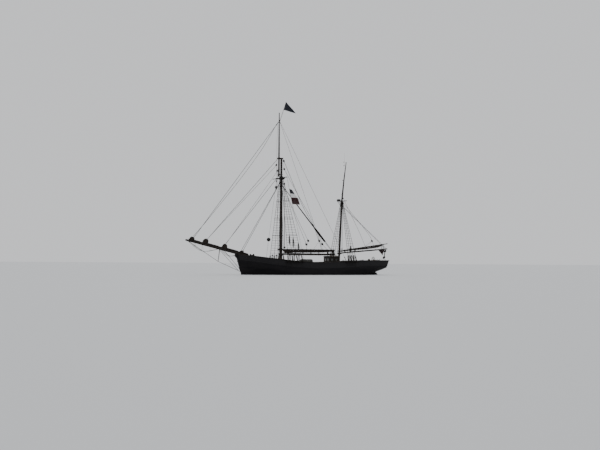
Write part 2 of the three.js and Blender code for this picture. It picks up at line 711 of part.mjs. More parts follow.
function mizzenMast() {
  const lower = [1150, MIZZEN_HOUNDS.z].map((z) => ({ x: mizzenX(z), z, r: mizzenRadius(z) }));
  const upper = [
    { x: MIZZEN_HOUNDS.x + 16, z: MIZZEN_HOUNDS.z + 300, r: 128 },
    { x: 5640, z: 15100, r: 98 },
    { ...MIZZEN_TRUCK, r: 55 },
  ];
  const pole = spar([...lower, ...upper], MAST_SIDES);
  const saddle = onMizzen(disc(0, 0, 0, 250, 90, "z", MAST_SIDES), MIZZEN_SADDLE_Z);
  const truck = disc(MIZZEN_TRUCK.x, 0, MIZZEN_TRUCK.z + 10, 80, 60, "z", 10);
  return seat(join(pole, saddle, truck));
}

const MIZZEN_BOOM_Z = 3450;
const MIZZEN_JAW_DEPTH = 170;
const MIZZEN_SADDLE_Z = MIZZEN_BOOM_Z - MIZZEN_JAW_DEPTH / 2 - 45.8;

function mizzenCrosstrees() {
  const z = MIZZEN_HOUNDS.z + 60;
  const inner = 152;
  const centre = mizzenX(z);
  const bar = (side) => sideBox(side, centre - 800, centre + 300, inner, inner + 65, z - 90, z);
  const spreader = box(centre + 190, centre + 280, -1100, 1100, z - 50, z + 40);
  const platform = box(centre - 900, centre - 260, -240, 240, z - 20, z + 50);
  const strut = (side) =>
    rope({ x: centre - 760, y: side * 185, z: z - 40 }, { x: centre - 215, y: side * 185, z: z - 700 }, 32);
  const heel = box(centre - 270, centre - 168, -215, 215, z - 760, z - 660);
  const bracket = join(bar(-1), bar(1), spreader, platform, strut(-1), strut(1), heel);
  return cut(bracket, nudged(mizzenMast(), -0.4, 0, 0));
}

function radar() {
  const z = MIZZEN_HOUNDS.z + 60 + 50 + GAP;
  const profile = [[0, 0], [200, 0], [300, 40], [300, 160], [230, 215], [0, 235]];
  const geometry = new THREE.LatheGeometry(profile.map(([r, h]) => new THREE.Vector2(r, h)), 20);
  return geometry.rotateX(Math.PI / 2).translate(mizzenX(MIZZEN_HOUNDS.z) - 590, 0, z);
}

// Stays from the masts to the bowsprit
const stayLine = (x, z, footX) => ({ top: { x, z }, foot: { x: footX, z: bowspritZ(footX) } });
const TOPMAST_STAY = stayLine(TOPMAST_X, 24000, -20500);
const JIB_STAY = stayLine(-6200, 18100, -18640);
const INNER_JIB_STAY = stayLine(-6400, 15000, -15600);

function stayFrom({ top, foot }, mast) {
  return cut(rope(top, foot), bowspritCutter(GAP), nudged(mast, -0.4, 0, -0.4));
}

function foreStay() {
  const head = (side) => ({ x: MAST_X - 150, y: side * 70, z: 14500 });
  const foot = (side) => ({ x: -12560, y: side * 360, z: 3040 });
  const seizing = rope({ x: -5880, y: -110, z: 14420 }, { x: -5880, y: 110, z: 14420 }, 60, 8);
  const gear = join(rope(head(-1), foot(-1)), rope(head(1), foot(1)), seizing);
  const hull = [nudged(caprail(), 0, 0, 0.4), below(3000, -13200, -12000)];
  return cut(gear, nudged(mainLowerMast(), -0.4, 0, 0), ...hull);
}

// Everything under a height between two places along the hull
const below = (z, x0, x1) => box(x0, x1, -4000, 4000, -3000, z);

// A topmast backstay, standing on the fore end of the mizzen's channel
function backstay(side) {
  const footY = capOuterAt(BACKSTAY_FOOT_X) + 130;
  const channelZ = channelTop(MIZZEN_SHROUD_FEET);
  const foot = point(BACKSTAY_FOOT_X, side * footY, channelZ + GAP + BACKSTAY_FOOT_LIFT);
  const head = point(TOPMAST_X + 100, side * 20, 23930);
  const at = (z) => foot.clone().lerp(head, (z - foot.z) / (head.z - foot.z));
  const low = at(channelZ + 190);
  const high = at(channelZ + 780);
  return join(
    rope(foot, head, BACKSTAY_RADIUS),
    rope(low, high, 42),
    disc(low.x, low.y, low.z, 80, 100, "y", 10),
    disc(high.x, high.y, high.z, 80, 100, "y", 10),
  );
}

// Furled headsails: long low bundles, each with its head gathered in a flat peak against its stay
const OUTER_JIB = { x0: -20900, x1: -18860, r: 150, foot: -20370, half: 380, peak: [-20290, 5680] };
const JIB = { x0: -18800, x1: -15800, r: 165, foot: -18300, half: 420, peak: [-17930, 5350] };
const INNER_JIB = { x0: -15740, x1: -12660, r: 165, foot: -15130, half: 420, peak: [-14940, 4660] };
const STAYSAIL = { x0: -12600, x1: -11150, r: 150, foot: -12240, half: 340, peak: [-12280, 3710] };

function headsail({ x0, x1, r, foot, half, peak }, stay) {
  const rows = [0, 0.12, 0.5, 0.85, 1].map((t, i) => {
    const x = x0 + t * (x1 - x0);
    const radius = r * [0.7, 1, 0.95, 0.9, 0.7][i];
    return { x, z: onBowsprit(x, 1) + radius * 0.8 - 40, r: radius };
  });
  const footZ = onBowsprit(foot, 1) + 90;
  const [peakX, peakZ] = peak;
  const head = spar(
    [
      { x: foot, z: footZ, r: 130, flat: half / 130 },
      { x: (foot + peakX) / 2, z: (footZ + peakZ) / 2, r: 105, flat: half / 190 },
      { x: peakX, z: peakZ, r: 45, flat: 1.4 },
    ],
    10,
  );
  const around = stay ? [rope(stay.top, stay.foot, STAY_RADIUS + GAP / Math.cos(Math.PI / ROPE_SIDES))] : [];
  return cut(join(spar(rows, 10, 0.8), head), bowspritCutter(GAP), ...around);
}

// Anchor ball on its halyard, from the inner jib stay down to the rail
function anchorBall() {
  const ball = { x: -7720, z: 5440 };
  const upper = { x: -6440, z: 14440 };
  const foot = { x: -8120, z: 2300 };
  const globe = new THREE.SphereGeometry(300, 16, 10).rotateX(Math.PI / 2).translate(ball.x, 0, ball.z);
  const cleat = box(foot.x - 70, foot.x + 70, -60, 60, 1500, foot.z + 60);
  const gear = join(rope(upper, ball, 16), rope(ball, foot, 16), globe, cleat);
  return seat(cut(gear, nudged(mainCrosstrees(), -0.4, 0, -0.4)));
}

// The flag on its halyard, from the port end of the crosstrees to the rail
const FLAG_HALYARD = {
  top: point(CROSSTREE_X, -(CROSSTREE_HALF - 60), HOUNDS_Z + 20),
  foot: point(-3100, -3060, 2060),
};

function portFlag() {
  const { top, foot } = FLAG_HALYARD;
  const at = (z) => foot.clone().lerp(top, (z - foot.z) / (top.z - foot.z));
  const hoistTop = at(13290);
  const hoistLow = at(10880);
  const corners = [
    [hoistTop.x, hoistTop.y, hoistTop.z],
    [hoistLow.x, hoistLow.y, hoistLow.z],
    [-3540, -2700, 10800],
    [-3880, -2640, 11700],
    [-4570, -2540, 12600],
  ];
  const gear = join(rope(top, foot, 14), flagSlab(corners, 30));
  return cut(gear, nudged(mainCrosstrees(), 0, 0, -0.4), nudged(caprail(), 0, 0, 0.4));
}

// The ensign hanging under the outer end of the mizzen boom
function ensign() {
  return flagSlab([[12230, 0, 3995], [13390, 0, 4105], [13020, 30, 3160]], 40);
}

// Main boom and gaff, swinging about the mast
const mastCutter = (x, radius, z0, z1) =>
  disc(x, 0, (z0 + z1) / 2, (radius + RUNNING_GAP) / Math.cos(Math.PI / 32), z1 - z0, "z", 32);

function jaws(x, z0, z1, reach, half, radius) {
  const block = box(x - reach, x + radius + 260, -half, half, z0, z1);
  const mouth = box(x - reach - 10, x, -radius - 5, radius + 5, z0 - 10, z1 + 10);
  return cut(block, mastCutter(x, radius, z0 - 10, z1 + 10), mouth);
}

// A bar across a boom's outer end, which the lifts come down to
const liftBar = (x, z) => disc(x, 0, z, 34, 2 * LIFT_SPREAD + 80, "y", 8);

const BOOM_JAW_TOP = BOOM_Z + 110;

function mainBoom() {
  const rows = [
    { x: MAST_X + 300, r: 120 },
    { x: -3500, r: 150 },
    { x: -500, r: 168 },
    { x: 2500, r: 150 },
    { x: BOOM_END_X, r: 115 },
  ];
  const body = spar(rows.map((row) => ({ z: BOOM_Z, ...row })), SPAR_SIDES);
  const bar = liftBar(BOOM_END_X - 90, BOOM_Z);
  return join(body, bar, jaws(MAST_X, BOOM_SEAT_Z, BOOM_JAW_TOP, 240, 335, mainRadius(BOOM_SEAT_Z)));
}

// Reads a value between the rows of a table as the straight run between them.
const between = (rows, key) => (x) => {
  const i = Math.max(0, Math.min(rows.length - 2, rows.findIndex((row) => row.x >= x) - 1));
  const t = (x - rows[i].x) / (rows[i + 1].x - rows[i].x);
  return rows[i][key] + t * (rows[i + 1][key] - rows[i][key]);
};

const MAIN_GAFF_ROWS = [
  { x: MAST_X + 300, z: GAFF_Z + 25, r: 95 },
  { x: -2500, z: GAFF_Z + 25, r: 112 },
  { x: 1500, z: GAFF_Z + 25, r: 105 },
  { x: 4050, z: GAFF_Z + 25, r: 72 },
];
const GAFF_JAW_LOW = GAFF_Z - 90;

function mainGaff() {
  const body = spar(MAIN_GAFF_ROWS, SPAR_SIDES);
  return join(body, jaws(MAST_X, GAFF_JAW_LOW, GAFF_Z + 120, 450, 325, mainRadius(GAFF_JAW_LOW)));
}

// A furled sail hanging in a roll under its gaff, joined to the hoops stacked on the boom's jaws
function furledUnder(gaffRows, rows, hoops) {
  const first = gaffRows[0];
  const last = gaffRows[gaffRows.length - 1];
  const slope = Math.atan2(last.z - first.z, last.x - first.x);
  const share = Math.cos(Math.PI / SPAR_SIDES) / Math.cos(slope);
  const axis = between(gaffRows, "z");
  const radius = between(gaffRows, "r");
  const drop = (row) => (radius(row.x) + row.r * row.flat) * share + 2 * GAP + (row.sink ?? 0);
  return join(spar(rows.map((row) => ({ ...row, z: axis(row.x) - drop(row) })), SPAR_SIDES), hoops);
}

function mainsail() {
  const rows = [
    { x: -5330, r: 80, flat: 0.9 },
    { x: -4700, r: 190, flat: 0.85 },
    { x: -2500, r: 205, flat: 0.85 },
    { x: 1500, r: 180, flat: 0.85 },
    { x: 2900, r: 150, flat: 0.85 },
    { x: 3850, r: 60, flat: 0.85 },
  ];
  const inner = mainRadius(BOOM_Z) + RUNNING_GAP;
  const hoops = collar(MAST_X, BOOM_JAW_TOP + GAP, GAFF_JAW_LOW - GAP, inner, inner + 50);
  return cut(furledUnder(MAIN_GAFF_ROWS, rows, hoops), nudged(mainGaff(), 0, 0, -GAP * 0.9));
}

const LIFT_TOP_Z = 13840;
const MIZZEN_LIFT_TOP_Z = 11000;
const LIFT_SPREAD = 165;

// A pair of lifts from a collar on the mast to the two ends of a bar through the boom's outer end
function toppingLifts({ top, end, reach, collarPiece, chafe, boom }) {
  const along = (x, from, to) => from + ((x - top.x) / (end.x - top.x)) * (to - from);
  const xs = [{ x: top.x, r: reach }, ...chafe, { x: end.x, r: reach }];
  const place = (x, side) => point(x, side * along(x, top.y, LIFT_SPREAD), along(x, top.z, end.z));
  const line = (side) => spar(xs.map(({ x, r }) => ({ ...place(x, side), r })), 8);
  return cut(join(line(-1), line(1), collarPiece), nudged(boom, 0, 0, 0.4));
}

function mainToppingLifts() {
  const r = mainRadius(LIFT_TOP_Z - 50);
  return toppingLifts({
    top: { x: MAST_X + 243, y: 60, z: LIFT_TOP_Z },
    end: { x: BOOM_END_X - 90, z: BOOM_Z + 20 },
    reach: 26,
    collarPiece: collar(MAST_X, LIFT_TOP_Z - 50, LIFT_TOP_Z + 50, r + RUNNING_GAP, r + 70),
    chafe: [
      { x: -2900, r: 26 },
      { x: -2760, r: 42 },
      { x: 260, r: 48 },
      { x: 460, r: 95 },
      { x: 1000, r: 118 },
      { x: 2150, r: 88 },
      { x: 2290, r: 26 },
    ],
    boom: mainBoom(),
  });
}

// Mizzen boom and gaff, swinging about the raked mast
function mizzenJaws(z, half, depth) {
  const r = mizzenRadius(z - 120);
  const local = jaws(0, -depth / 2, depth / 2, 180, half, r);
  return onMizzen(local, z);
}

function mizzenBoom() {
  const z = (x) => MIZZEN_BOOM_Z + 25 + ((x - 5000) / 9000) * 770;
  const rows = [
    { x: 5110, r: 92 },
    { x: 8000, r: 115 },
    { x: 11000, r: 112 },
    { x: 13900, r: 85 },
  ];
  const body = spar(rows.map((row) => ({ ...row, z: z(row.x) })), 12);
  return join(body, liftBar(13700, z(13700)), mizzenJaws(MIZZEN_BOOM_Z, 250, MIZZEN_JAW_DEPTH));
}

const mizzenGaffZ = (x) => 3830 + ((x - 5150) / 8800) * 1270;
const MIZZEN_GAFF_ROWS = [
  { x: 5150, r: 80 },
  { x: 8500, r: 95 },
  { x: 12000, r: 85 },
  { x: 13950, r: 58 },
].map((row) => ({ ...row, z: mizzenGaffZ(row.x) }));
const MIZZEN_GAFF_JAW_Z = 3790;

function mizzenGaff() {
  return join(spar(MIZZEN_GAFF_ROWS, SPAR_SIDES), mizzenJaws(MIZZEN_GAFF_JAW_Z, 240, MIZZEN_JAW_DEPTH));
}

function mizzenSail() {
  const rows = [
    { x: 5080, r: 40, flat: 0.9, sink: 88 },
    { x: 5400, r: 50, flat: 0.9, sink: 55 },
    { x: 7200, r: 55, flat: 0.8 },
    { x: 8500, r: 115, flat: 0.8 },
    { x: 10000, r: 165, flat: 0.85 },
    { x: 12000, r: 175, flat: 0.9 },
    { x: 12700, r: 110, flat: 0.9 },
    { x: 13050, r: 50, flat: 0.9 },
  ];
  const inner = mizzenRadius(MIZZEN_BOOM_Z) + RUNNING_GAP;
  const middle = (MIZZEN_BOOM_Z + MIZZEN_GAFF_JAW_Z) / 2;
  const reach = ((MIZZEN_GAFF_JAW_Z - MIZZEN_BOOM_Z) / Math.cos(MIZZEN_RAKE) - MIZZEN_JAW_DEPTH) / 2 - GAP;
  const hoops = onMizzen(collar(0, -reach, reach, inner, inner + 50), middle);
  return cut(furledUnder(MIZZEN_GAFF_ROWS, rows, hoops), nudged(mizzenGaff(), 0, 0, -GAP * 0.9));
}

function mizzenToppingLifts() {
  const z = MIZZEN_LIFT_TOP_Z;
  const r = mizzenRadius(z - 60);
  return toppingLifts({
    top: { x: mizzenX(z) + 183, y: 45, z },
    end: { x: 13700, z: MIZZEN_BOOM_Z + 25 + (8700 / 9000) * 770 + 20 },
    reach: 20,
    collarPiece: onMizzen(collar(0, -45, 45, r + RUNNING_GAP, r + 60), z),
    chafe: [],
    boom: mizzenBoom(),
  });
}

// Deck fittings
function windlassBitts() {
  const { x, z } = WINDLASS;
  const posts = [-1, 1].map((side) => sideBox(side, x - 110, x + 110, 470, 620, 1700, 3180));
  const cross = box(x - 30, x + 70, -620, 620, 2930, 3050);
  const foot = box(x - 600, x + 230, -620, 620, 1700, 2260);
  const chock = box(x - 600, x - 420, -190, 190, 1700, 2760);
  const bore = disc(x, 0, z, (WINDLASS.shaft + RUNNING_GAP) / Math.cos(Math.PI / 20), 1600, "y", 20);
  return seat(cut(join(...posts, cross, foot, chock), bore, bowspritCutter(GAP)));
}

function windlassBarrel() {
  const { x, z, barrel, shaft } = WINDLASS;
  const core = disc(x, 0, z, barrel, 900, "y", 16);
  const axle = disc(x, 0, z, shaft, 1800, "y", 16);
  const ends = [-1, 1].map((side) => disc(x, side * 775, z, barrel + 15, 260, "y", 16));
  return join(core, axle, ...ends);
}

// A companion hatch with a fixed fore top, an open after half and a pair of runners for its slide
const SCUTTLE_MIDDLE = (SCUTTLE.x0 + SCUTTLE.x1) / 2;
const RUNNER_HEIGHT = 30;

function foreScuttle() {
  const { x0, x1, half, top } = SCUTTLE;
  const outer = box(x0, x1, -half, half, 1500, top);
  const inner = box(x0 + 50, x1 - 50, -half + 50, half - 50, 1400, top - 50);
  const mouth = box(SCUTTLE_MIDDLE, x1 - 50, -half + 50, half - 50, top - 200, top + 10);
  const doorway = box(x1 - 100, x1 + 50, -half + 130, half - 130, 2330, top + 10);
  const runner = (side) => sideBox(side, x0, x1, half - 60, half - 10, top - 5, top + RUNNER_HEIGHT);
  return seat(join(cut(outer, inner, mouth, doorway), runner(-1), runner(1)));
}

function foreScuttleSlide() {
  const { x1, half, top } = SCUTTLE;
  const low = top + RUNNER_HEIGHT + GAP;
  return box(SCUTTLE_MIDDLE - 40, x1 + 30, -half - 20, half + 20, low, low + 55);
}

function cargoHatch() {
  const { x0, x1, half, top } = HATCH;
  const coaming = box(x0, x1, -half, half, 1000, top);
  const eave = half + 30;
  const ring = (x) => [
    point(x, -eave, top - 40),
    point(x, eave, top - 40),
    point(x, eave, top + 40),
    point(x, 0, top + 110),
    point(x, -eave, top + 40),
  ];
  return seat(join(coaming, loft([ring(x0 - 30), ring(x1 + 30)])));
}

// Two raft canisters, each a barrel with a waist band, on one chock
function lifeRafts() {
  const { x0, x1, y, z, radius } = RAFTS;
  const barrel = (side) => {
    const rows = [
      { x: x0, r: 0.72 },
      { x: x0 + 110, r: 1 },
      { x: x1 - 110, r: 1 },
      { x: x1, r: 0.72 },
    ];
    return spar(rows.map((row) => ({ x: row.x, y: side * y, z, r: row.r * radius })), 14);
  };
  const chocks = [x0 + 350, x1 - 350].map((x) => box(x - 60, x + 60, -800, 800, 1000, z - 120));
  const tie = box(x0 + 300, x1 - 300, -90, 90, 1000, z - 230);
  return seat(join(barrel(-1), barrel(1), ...chocks, tie));
}

// The skylight's box and gables, open inside, with a ridge bar between its two lids
const LID_SLOPE = Math.atan2(SKYLIGHT.ridge - SKYLIGHT.eaves, SKYLIGHT.half);
const LID_THICK = 40;
const LID_HINGE = { y: 55, z: SKYLIGHT.ridge - 55 * Math.tan(LID_SLOPE) + 2 * GAP };

function skylight() {
  const { x0, x1, half, eaves, ridge } = SKYLIGHT;
  const profile = [[-half, 1000], [half, 1000], [half, eaves], [0, ridge], [-half, eaves]];
  const shape = new THREE.Shape(profile.map(([y, z]) => new THREE.Vector2(y, z)));
  const block = new THREE.ExtrudeGeometry(shape, { depth: x1 - x0, bevelEnabled: false });
  const turned = new THREE.Matrix4().makeBasis(point(0, 1, 0), point(0, 0, 1), point(1, 0, 0));
  block.applyMatrix4(turned).translate(x0, 0, 0);
  const inner = box(x0 + 60, x1 - 60, -half + 60, half - 60, 900, ridge + 50);
  const bar = box(x0, x1, -30, 30, ridge - 70, ridge + 45);
  return seat(join(cut(block, inner), bar));
}

function skylightLid(side) {
  const { x0, x1, half } = SKYLIGHT;
  const width = (half - LID_HINGE.y) / Math.cos(LID_SLOPE) + 40;
  const panel = box(x0 - 40, x1 + 40, 0, width, 0, LID_THICK);
  const inset = box(x0 + 90, x1 - 90, 90, width - 90, LID_THICK - 12, LID_THICK + 20);
  const lid = cut(panel, inset).rotateX(-LID_SLOPE).translate(0, LID_HINGE.y, LID_HINGE.z);
  return side > 0 ? lid : flipped(lid);
}

// The mirror image across the centreline
function flipped(geometry) {
  return outward(geometry.clone().scale(1, -1, 1));
}

// The deckhouse walls, open to the deck below, with the windows and the doorway cut through
function deckhouse() {
  const { x0, x1, half, top, wall, windowZ } = HOUSE;
  const outer = box(x0, x1, -half, half, 900, top);
  const inner = box(x0 + wall, x1 - wall, -half + wall, half - wall, 800, top + 10);
  const sideWindows = [3000, 3850].map((x) => disc(x, 0, windowZ, 190, 4 * half, "y", 16));
  const endWindow = (x, y0, y1) => box(x - wall, x + wall, y0, y1, windowZ - 180, windowZ + 180);
  const frontWindows = [-420, 420].map((y) => endWindow(x0 + wall / 2, y - 230, y + 230));
  const backWindow = endWindow(x1 - wall / 2, 220, 640);
  const doorway = box(x1 - wall - 50, x1 + 50, DOOR.y0 + 20, DOOR.y1 - 20, DOOR.z0 + 20, DOOR.z1 - 20);
  return seat(cut(outer, inner, ...sideWindows, ...frontWindows, backWindow, doorway));
}

function deckhouseRoof() {
  const { x0, x1, half, top } = HOUSE;
  const eave = half + 90;
  const ring = (x) => [
    point(x, -eave, top + GAP),
    point(x, eave, top + GAP),
    point(x, eave, top + 60),
    point(x, eave * 0.5, top + 115),
    point(x, 0, top + 135),
    point(x, -eave * 0.5, top + 115),
    point(x, -eave, top + 60),
  ];
  return loft([ring(x0 - 90), ring(x1 + 60)]);
}

function deckhouseDoor() {
  const x = HOUSE.x1 + GAP;
  const panel = box(x, x + DOOR.thick, DOOR.y0, DOOR.y1, DOOR.z0, DOOR.z1);
  const light = box(x - 10, x + DOOR.thick + 10, DOOR.y0 + 140, DOOR.y1 - 140, DOOR.z1 - 420, DOOR.z1 - 130);
  const handle = box(x + DOOR.thick - 5, x + DOOR.thick + 40, DOOR.y1 - 90, DOOR.y1 - 50, 1900, 2040);
  return join(cut(panel, light), handle);
}

// Steering gear box, with the compass on a stand ahead of the wheel, both on one grating
function steeringStand() {
  const { x0, x1, half, top } = WHEEL_BOX;
  const outline = [[x0, 1200], [x1, 1200], [x1, top - 260], [x1 - 150, top - 130], [x0, top]];
  const casing = plate(outline, -half, half);
  const grating = box(x0 - 1250, x1 + 60, -620, 620, 1200, 1745);
  const stand = box(x0 - 1150, x0 - 850, -150, 150, 1700, 2350);
  const bowl = disc(x0 - 1000, 0, 2420, 175, 150, "z", 14);
  return seat(join(casing, grating, stand, bowl));
}

function steeringWheel() {
  const { x, z, rim, reach } = WHEEL;
  const hoop = new THREE.TorusGeometry(rim, 34, 6, 24).rotateY(Math.PI / 2).translate(x, 0, z);
  const shaft = disc((x + WHEEL_BOX.x0) / 2 - GAP / 2 - 40, 0, z, 45, WHEEL_BOX.x0 - x - GAP + 80, "x", 12);
  const hub = disc(x, 0, z, 105, 120, "x", 12);
  const spokes = Array.from({ length: 8 }, (_, i) => {
    const angle = (i / 8) * Math.PI * 2;
    const tip = { x, y: Math.cos(angle) * reach, z: z + Math.sin(angle) * reach };
    return rope({ x, y: 0, z }, tip, 24, 6);
  });
  return join(hoop, shaft, hub, ...spokes);
}

// Rudder on the sternpost's line, its stock running up into the counter
const POST_SLOPE = (sternLine[1].x - sternLine[0].x) / (sternLine[1].z - sternLine[0].z);
const stockX = (z) => HEEL.x + STOCK_OFFSET + (z - HEEL.z) * POST_SLOPE;

function rudder() {
  const foot = HEEL.z - 52;
  const stock = spar([foot, STOCK_TOP_Z].map((z) => ({ x: stockX(z), z, r: STOCK_RADIUS })), STOCK_SIDES);
  const blade = plate(
    [
      [stockX(foot + 30), foot + 30],
      [12330, -2610],
      [12470, -1800],
      [12420, -900],
      [12180, -150],
      [11820, 330],
      [stockX(420), 420],
    ],
    -52,
    52,
  );
  return cut(join(stock, blade), below(foot, 10000, 13000));
}

function propeller() {
  const { x, z, radius, shaft, hub } = PROPELLER;
  const boss = spar([{ x: x - 110, z, r: hub }, { x: x + 90, z, r: hub }, { x: x + 190, z, r: 40 }], 14);
  const axle = disc(x - 600, 0, z, shaft, 1100, "x", 14);
  const blade = (turn) => {
    const rings = [
      { r: 60, chord: 150, pitch: 1.05, thick: 64 },
      { r: 220, chord: 280, pitch: 0.8, thick: 54 },
      { r: 400, chord: 300, pitch: 0.6, thick: 42 },
      { r: radius - 40, chord: 190, pitch: 0.5, thick: 34 },
      { r: radius, chord: 80, pitch: 0.48, thick: 30 },
    ].map(({ r, chord, pitch, thick }) =>
      [[-0.5, -0.3], [-0.5, 0.3], [0, 0.5], [0.5, 0.3], [0.5, -0.3], [0, -0.5]].map(([along, across]) => {
        const dx = along * chord * Math.sin(pitch) + across * thick * Math.cos(pitch);
        const dy = along * chord * Math.cos(pitch) - across * thick * Math.sin(pitch);
        return point(dx, dy, r);
      }),
    );
    return loft(rings).rotateX(turn).translate(x, 0, z);
  };
  const blades = [0, 1, 2].map((i) => blade((i / 3) * Math.PI * 2));
  return join(boss, axle, ...blades);
}

// The rudder's trunk through the counter, with its bearing above
function rudderTrunk() {
  const run = (zs, r) => spar(zs.map((z) => ({ x: stockX(z), z, r })), STOCK_SIDES);
  const bore = (STOCK_RADIUS + RUNNING_GAP) / Math.cos(Math.PI / STOCK_SIDES);
  const bearing = run([200, STOCK_TOP_Z + 30], bore);
  return join(run([200, STOCK_TOP_Z - 200], STOCK_RADIUS + 12), bearing);
}

const pieces = [
  { name: "hull", shape: hull, finish: "hull" },
  { name: "keel", shape: keel, finish: "bottom" },
  { name: "stem", shape: stem, finish: "hull" },
  { name: "deck", shape: deck, finish: "deck" },
  { name: "bulwark_port", shape: () => bulwark(-1), finish: "hull" },
  { name: "bulwark_starboard", shape: () => bulwark(1), finish: "hull" },
  { name: "bulwark_stern", shape: sternBulwark, finish: "hull" },
  { name: "caprail", shape: caprail, finish: "trim" },
  { name: "bowsprit", shape: bowsprit, finish: "spar" },
  { name: "dolphin_striker", shape: dolphinStriker, finish: "iron" },
  { name: "main_lower_mast", shape: mainLowerMast, finish: "spar" },
  { name: "main_topmast", shape: mainTopmast, finish: "spar" },
  { name: "main_crosstrees", shape: mainCrosstrees, finish: "spar" },
  { name: "flagstaff", shape: flagstaff, finish: "spar" },
  { name: "pennant", shape: pennant, finish: "blue" },
  { name: "main_shrouds_port", shape: () => mainGang(-1), finish: "rope" },
  { name: "main_shrouds_starboard", shape: () => mainGang(1), finish: "rope" },
  { name: "backstay_port", shape: () => flipped(backstay(1)), finish: "rope" },
  { name: "backstay_starboard", shape: () => backstay(1), finish: "rope" },
  { name: "topmast_stay", shape: () => stayFrom(TOPMAST_STAY, mainTopmast()), finish: "rope" },
  { name: "jib_stay", shape: () => stayFrom(JIB_STAY, mainLowerMast()), finish: "rope" },
  { name: "inner_jib_stay", shape: () => stayFrom(INNER_JIB_STAY, mainCrosstrees()), finish: "rope" },
  { name: "forestay", shape: foreStay, finish: "rope" },
  { name: "outer_jib_furled", shape: () => headsail(OUTER_JIB, TOPMAST_STAY), finish: "sail" },
  { name: "jib_furled", shape: () => headsail(JIB, JIB_STAY), finish: "sail" },
  { name: "inner_jib_furled", shape: () => headsail(INNER_JIB, INNER_JIB_STAY), finish: "sail" },
  { name: "staysail_furled", shape: () => headsail(STAYSAIL), finish: "sail" },
  { name: "mizzen_mast", shape: mizzenMast, finish: "spar" },
  { name: "mizzen_crosstrees", shape: mizzenCrosstrees, finish: "spar" },
  { name: "radar", shape: radar, finish: "white" },
  { name: "mizzen_shrouds_port", shape: () => mizzenGang(-1), finish: "rope" },
  { name: "mizzen_shrouds_starboard", shape: () => mizzenGang(1), finish: "rope" },
  { name: "anchor_ball", shape: anchorBall, finish: "black" },
  { name: "flag", shape: portFlag, finish: "blue" },
  { name: "ensign", shape: ensign, finish: "blue" },
  { name: "main_boom", shape: mainBoom, finish: "spar" },
  { name: "main_gaff", shape: mainGaff, finish: "spar" },
  { name: "mainsail_furled", shape: mainsail, finish: "sail" },
  { name: "main_topping_lifts", shape: mainToppingLifts, finish: "rope" },
  { name: "mizzen_boom", shape: mizzenBoom, finish: "spar" },
  { name: "mizzen_gaff", shape: mizzenGaff, finish: "spar" },
  { name: "mizzen_sail_furled", shape: mizzenSail, finish: "sail" },
  { name: "mizzen_topping_lifts", shape: mizzenToppingLifts, finish: "rope" },
  { name: "windlass_bitts", shape: windlassBitts, finish: "trim" },
  { name: "windlass_barrel", shape: windlassBarrel, finish: "iron" },
  { name: "fore_scuttle", shape: foreScuttle, finish: "varnish" },
  { name: "fore_scuttle_slide", shape: foreScuttleSlide, finish: "varnish" },
  { name: "cargo_hatch", shape: cargoHatch, finish: "trim" },
  { name: "life_rafts", shape: lifeRafts, finish: "white" },
  { name: "skylight", shape: skylight, finish: "varnish" },
  { name: "skylight_lid_port", shape: () => skylightLid(-1), finish: "varnish" },
  { name: "skylight_lid_starboard", shape: () => skylightLid(1), finish: "varnish" },
  { name: "deckhouse", shape: deckhouse, finish: "varnish" },
  { name: "deckhouse_roof", shape: deckhouseRoof, finish: "white" },
  { name: "deckhouse_door", shape: deckhouseDoor, finish: "varnish" },
  { name: "steering_stand", shape: steeringStand, finish: "varnish" },
  { name: "steering_wheel", shape: steeringWheel, finish: "varnish" },
  { name: "rudder", shape: rudder, finish: "bottom" },
  { name: "propeller", shape: propeller, finish: "bronze" },
];
for (const { name, shape, finish } of pieces) add(name, shape(), finish);

export default ship;
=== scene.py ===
"""The looks of a two-masted gaff ketch afloat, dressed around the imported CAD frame. Metres, +Z up, +X aft."""

import math
import random
from itertools import product

import bpy
import numpy as np
from mathutils import Matrix, Vector


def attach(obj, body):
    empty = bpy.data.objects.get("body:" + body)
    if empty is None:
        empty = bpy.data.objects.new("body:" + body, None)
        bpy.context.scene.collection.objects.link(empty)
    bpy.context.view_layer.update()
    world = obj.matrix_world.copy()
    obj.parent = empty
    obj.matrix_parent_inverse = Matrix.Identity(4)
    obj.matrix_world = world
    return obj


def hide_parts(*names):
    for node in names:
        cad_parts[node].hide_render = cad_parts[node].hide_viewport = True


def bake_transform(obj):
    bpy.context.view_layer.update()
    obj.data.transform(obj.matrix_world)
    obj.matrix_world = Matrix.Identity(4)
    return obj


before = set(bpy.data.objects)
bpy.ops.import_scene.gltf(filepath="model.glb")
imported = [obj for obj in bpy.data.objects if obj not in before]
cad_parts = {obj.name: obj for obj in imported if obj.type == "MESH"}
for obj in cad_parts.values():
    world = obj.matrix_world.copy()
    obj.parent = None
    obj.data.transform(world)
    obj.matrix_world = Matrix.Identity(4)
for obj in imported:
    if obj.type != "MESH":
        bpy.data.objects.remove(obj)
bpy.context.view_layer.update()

# Camera, as the photograph sees the ship: from off the port bow, close to the water
AZIMUTH = math.radians(28.0)
DISTANCE = 160.0
EYE_HEIGHT = 1.95
SENSOR = 36.0
# The focal length, the picture's width and how far the origin is from its middle, in the photo's pixels
LENS_PIXELS = 1010.0
FRAME_WIDTH = 600.0
ORIGIN_OFFSET = 12.7
HORIZON_DROP = 37.3
ROLL = math.radians(0.36)

# Floor and sky
FLOOR_REACH = 1500.0
FLOOR_GREY = (0.62, 0.63, 0.64, 1.0)
FLOOR_ROUGHNESS = 0.9
SKY_GREY = (0.83, 0.84, 0.86, 1.0)
SKY_STRENGTH = 0.95
# Soft lights: name, compass turn, height in degrees, strength, width in degrees
LIGHTS = [
    ("back_light", 152.0, 38.0, 1.0, 40.0),
    ("front_fill", -60.0, 30.0, 0.15, 60.0),
]

